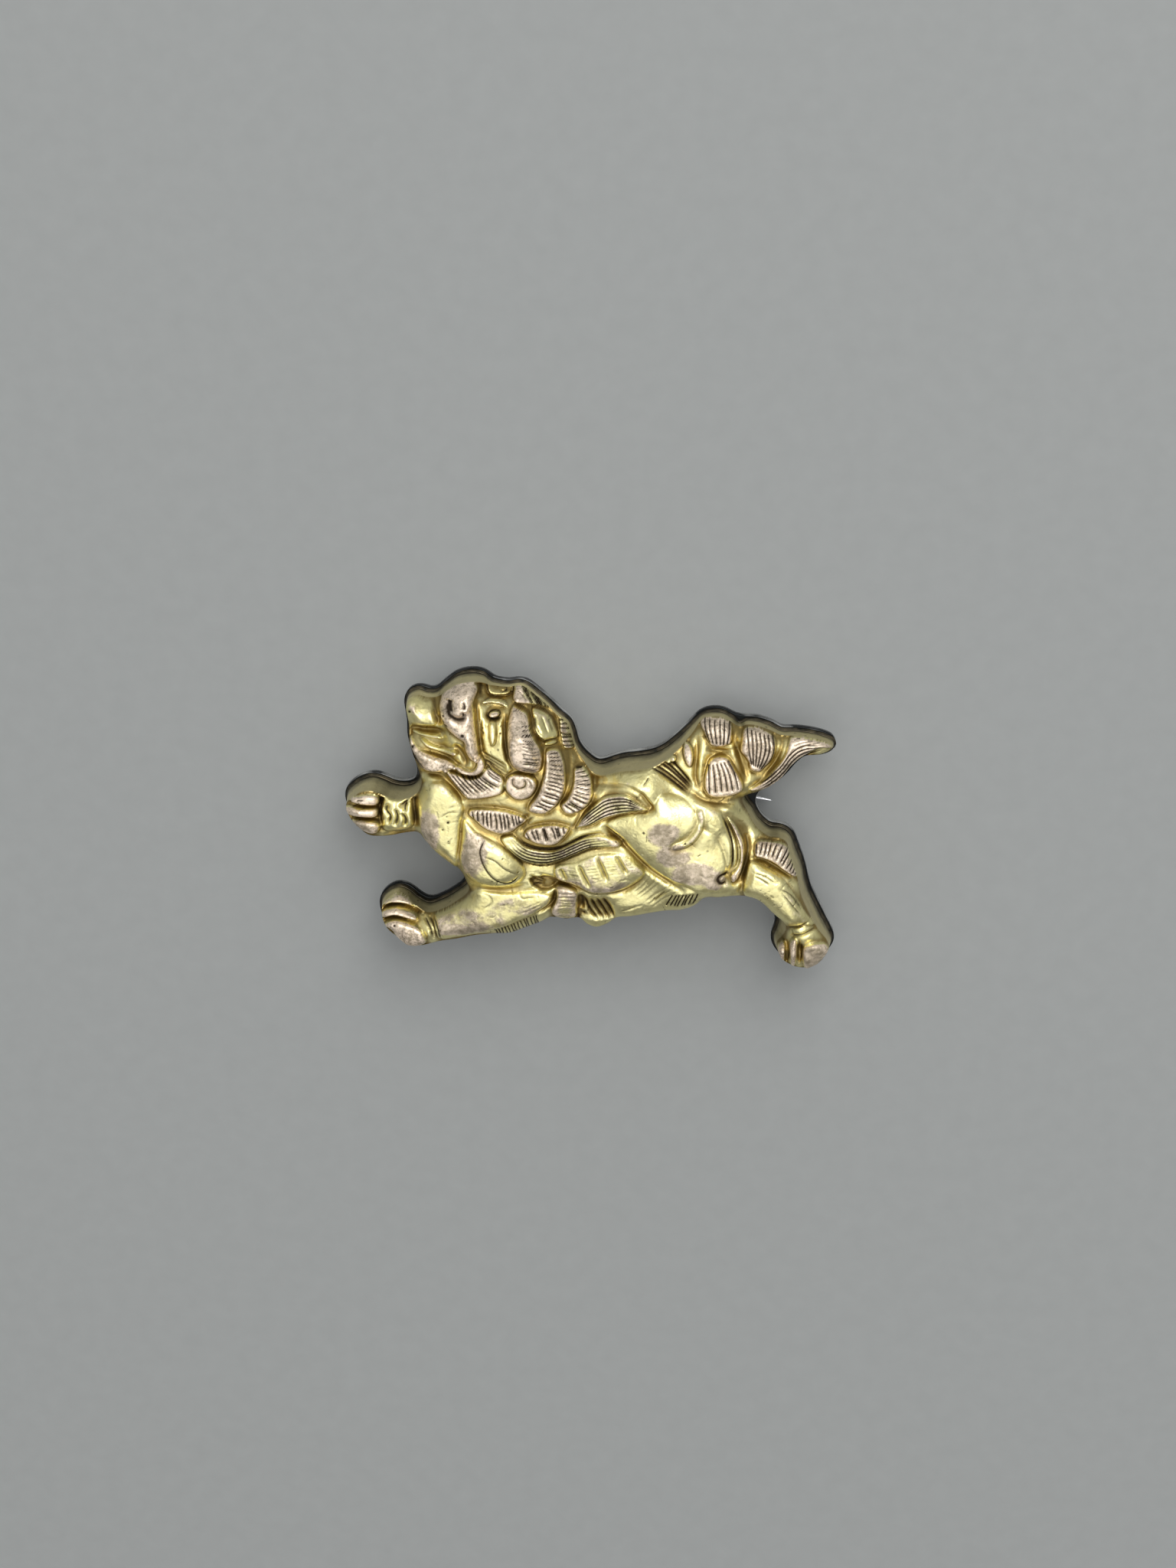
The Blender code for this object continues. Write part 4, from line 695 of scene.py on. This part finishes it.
# the short dark scratches and tool slips of hand work, thickest on the low ground
SCRATCHES = 700
for _ in range(SCRATCHES):
    at = drawn[random.integers(len(drawn))]
    turn = random.normal(-0.6, 0.8)
    half = np.array([math.cos(turn), math.sin(turn)]) * random.uniform(0.08, 0.4)
    bend = np.array([-half[1], half[0]]) * random.normal(0, 0.25)
    line([at - half, at + bend, at + half], width=random.uniform(0.04, 0.07),
         depth=random.uniform(0.01, 0.05), dark=random.uniform(0.2, 0.75))

# ------------------------------------------------------------------------------------------------
# Embossed front: raising the sheet and its wall.
# The face keeps the grid it was drawn on, cut off at the shoulder, and the wall is drawn down from it
# to the foot. The back is closed flat, hidden by the plate.

HIGHEST, EASED = 8.44, 0.25     # the face's top, and how far under it the forms begin to flatten
over = np.maximum(height - HIGHEST + EASED, 0)
height = np.minimum(height, HIGHEST - EASED) + EASED * np.tanh(over / EASED)
HOLLOW_REACH = 0.35             # how far round a point its hollowness is judged
grid = np.lexsort((plan[:, 0], plan[:, 1]))
across = len(np.unique(plan[:, 0].round(4)))
level = height[grid].reshape(-1, across)
blurred = level.copy()
for _ in range(int(2 * (HOLLOW_REACH / CELL) ** 2)):
    for axis in (0, 1):
        blurred = (np.roll(blurred, 1, axis) + 2 * blurred + np.roll(blurred, -1, axis)) / 4
hollow = np.zeros(len(plan))
hollow[grid] = (blurred - level).ravel()

# painted shade: the sunk ground and the rings round raised forms count as hollow, which darkens the
# gilding's colour
LOW_GROUND = 0.22               # low ground counts as this much hollower, in millimetres
hollow += painted_shade * LOW_GROUND

marks = {"chased": chased, "worn": worn, "dull": dull, "hollow": hollow, "place": nearest}
layers = {name: bm.verts.layers.float.new(name) for name in (*marks, "wall")}
for name, values in marks.items():
    for v, value in zip(bm.verts, values):
        v[layers[name]] = value
for v, z in zip(bm.verts, height):
    v.co.z = z
bm.verts.ensure_lookup_table()
outside = [bm.verts[i] for i in np.flatnonzero(depth_in < -0.5 * CELL)]
bmesh.ops.delete(bm, geom=outside, context="VERTS")
loose = [v for v in bm.verts if len(v.link_faces) < 1]
bmesh.ops.delete(bm, geom=loose, context="VERTS")
rim = [e for e in bm.edges if e.is_boundary]
for v in {v for e in rim for v in e.verts}:
    v.co = shoulder[int(v[layers["place"]])]

WALL_ROWS = 7
for row in range(1, WALL_ROWS + 1):
    down = row / WALL_ROWS
    grown = bmesh.ops.extrude_edge_only(bm, edges=rim)["geom"]
    rim = [g for g in grown if isinstance(g, bmesh.types.BMEdge) and g.is_boundary]
    for v in (g for g in grown if isinstance(g, bmesh.types.BMVert)):
        i = int(v[layers["place"]])
        top, low_point = shoulder[i], np.array([foot[i, 0], foot[i, 1], FOOT_Z])
        v.co = top + (low_point - top) * down
        for name in ("chased", "worn", "dull", "hollow"):
            v[layers[name]] = 0.0
        v[layers["wall"]] = down
bmesh.ops.contextual_create(bm, geom=rim)
bmesh.ops.remove_doubles(bm, verts=bm.verts, dist=CELL * 0.02)
bmesh.ops.recalc_face_normals(bm, faces=bm.faces)


def finished(name, bm, body, material):
    """A bmesh in the pattern's millimetres becomes a piece in its place."""
    bmesh.ops.translate(bm, vec=(-MIDDLE[0], -MIDDLE[1], 0), verts=bm.verts)
    bmesh.ops.scale(bm, vec=(MM, MM, MM), verts=bm.verts)
    mesh = bpy.data.meshes.new(name)
    bm.to_mesh(mesh)
    bm.free()
    mesh.materials.append(material)
    piece = bpy.data.objects.new(name, mesh)
    bpy.context.collection.objects.link(piece)
    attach(piece, body)
    return piece


class Socket:
    """A value in a material's nodes that Python arithmetic can be done on."""

    def __init__(self, nodes, socket):
        self.nodes = nodes
        self.socket = socket

    def math(self, operation, *others):
        return self.nodes.node("ShaderNodeMath", {"operation": operation}, self, *others)

    def __add__(self, other):
        return self.math("ADD", other)

    def __sub__(self, other):
        return self.math("SUBTRACT", other)

    def __rsub__(self, other):
        return self.nodes.node("ShaderNodeMath", {"operation": "SUBTRACT"}, other, self)

    def __mul__(self, other):
        return self.math("MULTIPLY", other)

    __radd__ = __add__
    __rmul__ = __mul__

    def clamp(self, low=0.0, high=1.0):
        return self.math("MAXIMUM", low).math("MINIMUM", high)

    def band(self, low, high):
        """0 below low, 1 above high."""
        return ((self - low) * (1.0 / (high - low))).clamp()


class Finish:
    """A material, or the sky, and the nodes that make it up."""

    def __init__(self, owner, shader="Principled BSDF", coords="Object", **constants):
        self.owner = owner
        owner.use_nodes = True
        self.tree = owner.node_tree
        self.shader = self.tree.nodes[shader]
        for socket, value in constants.items():
            self.shader.inputs[socket.replace("_", " ").title()].default_value = value
        self.coords = self.node("ShaderNodeTexCoord", {}, output=coords)

    def node(self, kind, settings, *values, output=0, **named):
        made = self.tree.nodes.new(kind)
        for key, value in settings.items():
            setattr(made, key, value)
        for key, value in list(enumerate(values)) + list(named.items()):
            target = made.inputs[key if isinstance(key, int) else key.replace("_", " ").title()]
            if isinstance(value, Socket):
                self.tree.links.new(value.socket, target)
            else:
                target.default_value = value
        return Socket(self, made.outputs[output])

    def noise(self, scale, detail=3.0, rough=0.55, at=None):
        """Soft noise about 0.5, with features about 1/scale metres across."""
        return self.node("ShaderNodeTexNoise", {}, vector=at or self.coords, scale=scale, detail=detail,
                         roughness=rough)

    def attribute(self, name):
        return self.node("ShaderNodeAttribute", {"attribute_name": name}, output="Fac")

    def mix(self, factor, a, b):
        made = self.tree.nodes.new("ShaderNodeMix")
        made.data_type = "RGBA"
        for target, value in ((made.inputs["Factor"], factor), (made.inputs[6], a), (made.inputs[7], b)):
            if isinstance(value, Socket):
                self.tree.links.new(value.socket, target)
            else:
                target.default_value = value if isinstance(value, float) else (*value, 1.0)
        return Socket(self, made.outputs[2])

    def set(self, socket, value):
        self.tree.links.new(value.socket, self.shader.inputs[socket])

    def bump(self, height, distance, strength=1.0):
        relief = self.node("ShaderNodeBump", {}, height=height, distance=distance, strength=strength)
        self.set("Normal", relief)


# gilding over silver: pale on the flats, with painted shade in deep gold in the hollows and down the wall,
# and on the high places worn to pinkish silver, which has tarnished in clouds
gilding = Finish(bpy.data.materials.new("gilding"), metallic=1.0)
speck = gilding.noise(5200)
cloud = gilding.noise(900)
broad = gilding.noise(260)
spots = gilding.node("ShaderNodeTexVoronoi", {}, vector=gilding.coords, scale=1300.0, output="Distance")
spot_mask = (1 - spots.band(0.06, 0.16)) * gilding.noise(330).band(0.5, 0.62)
chased_mask = (gilding.attribute("chased") * 1.25 + (speck - 0.5) * 0.35).band(0.35, 1.0)
# painted shade: darker deep gold where the surface is hollow
hollow_shade_mask = (gilding.attribute("hollow") * 3.2 + (cloud - 0.5) * 0.3).band(0.03, 0.9)
bare_mask = (gilding.attribute("worn") + (cloud - 0.5) * 1.0 + (broad - 0.5) * 0.5 + (speck - 0.5) * 0.5
             - gilding.attribute("hollow") * 2).band(0.38, 0.72)
down_wall = gilding.attribute("wall")
stain = (gilding.noise(1900, detail=6.0) * 0.7 + broad * 0.4 + (speck - 0.5) * 0.8).band(0.50, 0.68)
colour = gilding.mix(cloud, (0.86, 0.76, 0.32), (0.97, 0.90, 0.50))
bare = gilding.mix(stain, (0.93, 0.75, 0.64), (0.36, 0.27, 0.24))
grime = gilding.noise(1500, detail=6.0)
dull_mask = (gilding.attribute("dull") * 0.6 + (grime - 0.5) * 2.5).clamp()
bare = gilding.mix(dull_mask, bare, (0.22, 0.165, 0.145))
colour = gilding.mix(grime.band(0.48, 0.72) * 0.45, colour, (0.36, 0.29, 0.10))
colour = gilding.mix(bare_mask * 0.78, colour, bare)
# painted shade in deep gold over the hollows and round the raised forms
colour = gilding.mix(hollow_shade_mask * 0.9, colour, (0.31, 0.21, 0.06))
# painted shade: the wall is painted a duller grey-gold, darkening to near black towards its foot
colour = gilding.mix(down_wall.band(0.0, 0.12) * 0.7, colour, (0.58, 0.49, 0.27))
colour = gilding.mix((down_wall + (cloud - 0.5) * 0.5).band(0.55, 1.0), colour, (0.07, 0.06, 0.04))
colour = gilding.mix(chased_mask.math("MAXIMUM", spot_mask * 0.9), colour, (0.035, 0.022, 0.01))
gilding.set("Base Color", colour)
gilding.set("Metallic", 1 - bare_mask * 0.25)
roughness = 0.38 + (cloud - 0.5) * 0.2 + bare_mask * 0.08 + chased_mask * 0.2
gilding.set("Roughness", roughness.clamp(0.2, 0.8))
gilding.bump(speck * 0.4 + gilding.noise(2200) * 0.8 + cloud * 1.6 - spot_mask * 0.8, 0.00006, 0.7)

front = finished("embossed_front", bm, "brooch", gilding.owner)
front.data.shade_smooth()
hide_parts("lion_front")

# ------------------------------------------------------------------------------------------------
# Back plate.
# Flat silver sheet, sawn a little outside the foot of the front. Its ledge and most of its edge have gone
# nearly black, and a few filed places on the edge are still bright.

LEDGE = 0.24                    # plate showing outside the foot
BRIDGE = 0.5                    # notches tighter than this radius are sawn straight across
EVERY = 4                       # the plate and the solder follow each fourth point of the foot
PLATE_UNDER, PLATE_TOP = 2.6, 3.2
PLATE_EDGE = 0.07               # the filed corner


def clear_of(loop, others, reach):
    """The points of a loop that are nearly reach or more from all the others."""
    gap = np.array([np.hypot(*(others - p).T).min() for p in loop])
    return loop[gap > 0.98 * reach]


# out past the ledge and back again, which leaves tight notches bridged
wide = foot[::EVERY, :2] - inward(foot[:, :2])[::EVERY] * (LEDGE + BRIDGE)
wide = clear_of(wide, foot[:, :2], LEDGE + BRIDGE)
outer = clear_of(wide + inward(wide) * BRIDGE, wide, BRIDGE)
for _ in range(3):
    outer = (np.roll(outer, 1, 0) + 2 * outer + np.roll(outer, -1, 0)) / 4
bm = bmesh.new()
sheet = bm.faces.new([bm.verts.new((x, y, PLATE_UNDER)) for x, y in outer])
raised = bmesh.ops.extrude_face_region(bm, geom=[sheet])["geom"]
upper = [v for v in raised if isinstance(v, bmesh.types.BMVert)]
bmesh.ops.translate(bm, vec=(0, 0, PLATE_TOP - PLATE_UNDER), verts=upper)
bmesh.ops.recalc_face_normals(bm, faces=bm.faces)
corners = [e for e in bm.edges if abs(e.verts[0].co.z - e.verts[1].co.z) < 1e-6]
bmesh.ops.bevel(bm, geom=corners, offset=PLATE_EDGE, offset_type="OFFSET", affect="EDGES", segments=2,
                profile=0.5, material=-1, clamp_overlap=True)
for f in bm.faces:
    f.smooth = abs(f.normal.z) < 0.99

silver = Finish(bpy.data.materials.new("silver"), metallic=1.0)
grain = silver.noise(3000)
tarnish = silver.noise(420, detail=5.0)
height_up = silver.node("ShaderNodeSeparateXYZ", {}, silver.coords, output="Z")
ledge_mask = height_up.band((PLATE_TOP - 0.05) * MM, (PLATE_TOP - 0.01) * MM)
side_mask = height_up.band((PLATE_UNDER + 0.03) * MM, (PLATE_UNDER + 0.12) * MM)
filed = silver.noise(170).band(0.5, 0.58)
black_mask = ledge_mask.math("MAXIMUM", side_mask * (1 - filed))
bright = silver.mix(tarnish.band(0.35, 0.8), (0.86, 0.86, 0.84), (0.34, 0.33, 0.30))
blackened = black_mask * (0.85 + tarnish * 0.3).clamp()
silver.set("Base Color", silver.mix(blackened, bright, (0.012, 0.013, 0.013)))
silver.set("Roughness", (0.16 + grain * 0.12 + tarnish.band(0.45, 0.7) * 0.15).clamp())
silver.bump(grain, 0.00002, 0.3)
plate = finished("plate", bm, "brooch", silver.owner)
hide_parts("back_plate")

# ------------------------------------------------------------------------------------------------
# Solder seam.
# A thin fillet of grey solder where the foot of the front meets the plate, run round by torch and a
# little uneven.

seam = Finish(bpy.data.materials.new("solder"), metallic=1.0)
seam_cloud = seam.noise(1800)
seam.set("Base Color", seam.mix(seam_cloud.band(0.3, 0.7), (0.03, 0.03, 0.025), (0.16, 0.13, 0.08)))
seam.set("Roughness", (0.35 + seam_cloud * 0.25).clamp())
seam.bump(seam_cloud, 0.00005, 0.6)

wander = np.sin(np.arange(len(foot)) * 0.021) * 0.02 + np.sin(np.arange(len(foot)) * 0.057) * 0.015
outward = -inward(foot[:, :2])
# the fillet's section, round from its inside: how far outside the foot, and how high
section = [(-0.25, 3.22), (-0.25, 3.43), (0.0, 3.47), (0.03, 3.36), (0.07, 3.27), (0.13, 3.215),
           (-0.25, 3.22)]
bm = bmesh.new()
place = bm.verts.layers.int.new("place")
ring = [bm.verts.new((0, 0, 0)) for _ in range(0, len(foot), EVERY)]
for i, v in enumerate(ring):
    v[place] = i * EVERY
edges = [bm.edges.new(pair) for pair in zip(ring, ring[1:] + ring[:1])]
for step, (out_by, z) in enumerate(section):
    if step:
        grown = bmesh.ops.extrude_edge_only(bm, edges=edges)["geom"]
        edges = [g for g in grown if isinstance(g, bmesh.types.BMEdge) and g.is_boundary]
        ring = [g for g in grown if isinstance(g, bmesh.types.BMVert)]
    for v in ring:
        i = v[place]
        at = foot[i, :2] + outward[i] * (out_by + max(out_by, 0) * wander[i] * 8)
        v.co = (at[0], at[1], z)
bmesh.ops.remove_doubles(bm, verts=bm.verts, dist=0.0005)
bmesh.ops.recalc_face_normals(bm, faces=bm.faces)
for f in bm.faces:
    f.smooth = True
fillet = finished("solder_fillet", bm, "brooch", seam.owner)
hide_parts("rim_solder")

# ------------------------------------------------------------------------------------------------
# Hinge, catch and pin.
# Silver tubes and a hooked strip soldered to the plate; the rivet and the pin are hard steel wire.

steel = Finish(bpy.data.materials.new("steel"), metallic=1.0)
wire_marks = steel.noise(2500)
steel.set("Base Color", steel.mix(wire_marks, (0.62, 0.62, 0.63), (0.80, 0.80, 0.80)))
steel.set("Roughness", (0.16 + wire_marks * 0.12).clamp())

for node, finish in (("hinge_bearer", silver), ("hinge_tube_upper", silver), ("hinge_tube_lower", silver),
                     ("hinge_rivet", steel), ("catch_pad", silver), ("catch_hook", silver),
                     ("pin_eye", steel), ("pin_wire", steel)):
    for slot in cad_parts[node].material_slots:
        slot.material = finish.owner

# ------------------------------------------------------------------------------------------------
# Floor, light and camera.
# A pale board under one broad soft light, seen from above the animal's back.

floor_finish = Finish(bpy.data.materials.new("floor"), roughness=0.85)
board = floor_finish.mix(floor_finish.noise(700), (0.265, 0.272, 0.264), (0.295, 0.302, 0.294))
floor_finish.set("Base Color", board)
bm = bmesh.new()
bmesh.ops.create_grid(bm, x_segments=1, y_segments=1, size=1.5)
mesh = bpy.data.meshes.new("floor")
bm.to_mesh(mesh)
bm.free()
mesh.materials.append(floor_finish.owner)
floor = bpy.data.objects.new("floor", mesh)
bpy.context.collection.objects.link(floor)

bpy.context.scene.world = bpy.data.worlds.new("studio")
sky = Finish(bpy.context.scene.world, shader="Background", coords="Generated", strength=1.0)
upward = sky.node("ShaderNodeSeparateXYZ", {}, sky.coords, output="Z")
windowward = sky.node("ShaderNodeSeparateXYZ", {}, sky.coords, output="Y")
brightening = (upward * 0.7 + windowward * 0.6).band(-0.1, 0.9)
sky.set("Color", sky.mix(brightening, (0.20, 0.20, 0.21), (0.98, 1.00, 1.02)))
bpy.context.scene.view_settings.view_transform = "Standard"


def soft_light(name, place, size, power):
    """A square soft box, aimed at the brooch."""
    lamp = bpy.data.lights.new(name, "AREA")
    lamp.size = size
    lamp.energy = power
    made = bpy.data.objects.new(name, lamp)
    made.location = place
    made.rotation_euler = (Vector((0, 0, 0.005)) - Vector(place)).to_track_quat("-Z", "Y").to_euler()
    bpy.context.collection.objects.link(made)


soft_light("ceiling", (0.05, -0.10, 0.60), 0.70, 0.9)
soft_light("window", (0.12, 0.33, 0.36), 0.32, 1.3)

target = np.array([0.0, 2.3, DRAWN_Z])
camera_data = bpy.data.cameras.new("camera")
camera_data.lens = 61.45
camera_data.sensor_width = 36.0
camera_data.clip_start = 0.01
camera = bpy.data.objects.new("camera", camera_data)
offset = np.array([MIDDLE[0], MIDDLE[1], 0])
camera.location = Vector((EYE - offset) * MM)
back = Vector(EYE - target).normalized()
right = Vector((0, 1, 0)).cross(back).normalized()
camera.rotation_euler = Matrix((right, back.cross(right), back)).transposed().to_euler()
bpy.context.collection.objects.link(camera)
bpy.context.scene.camera = camera
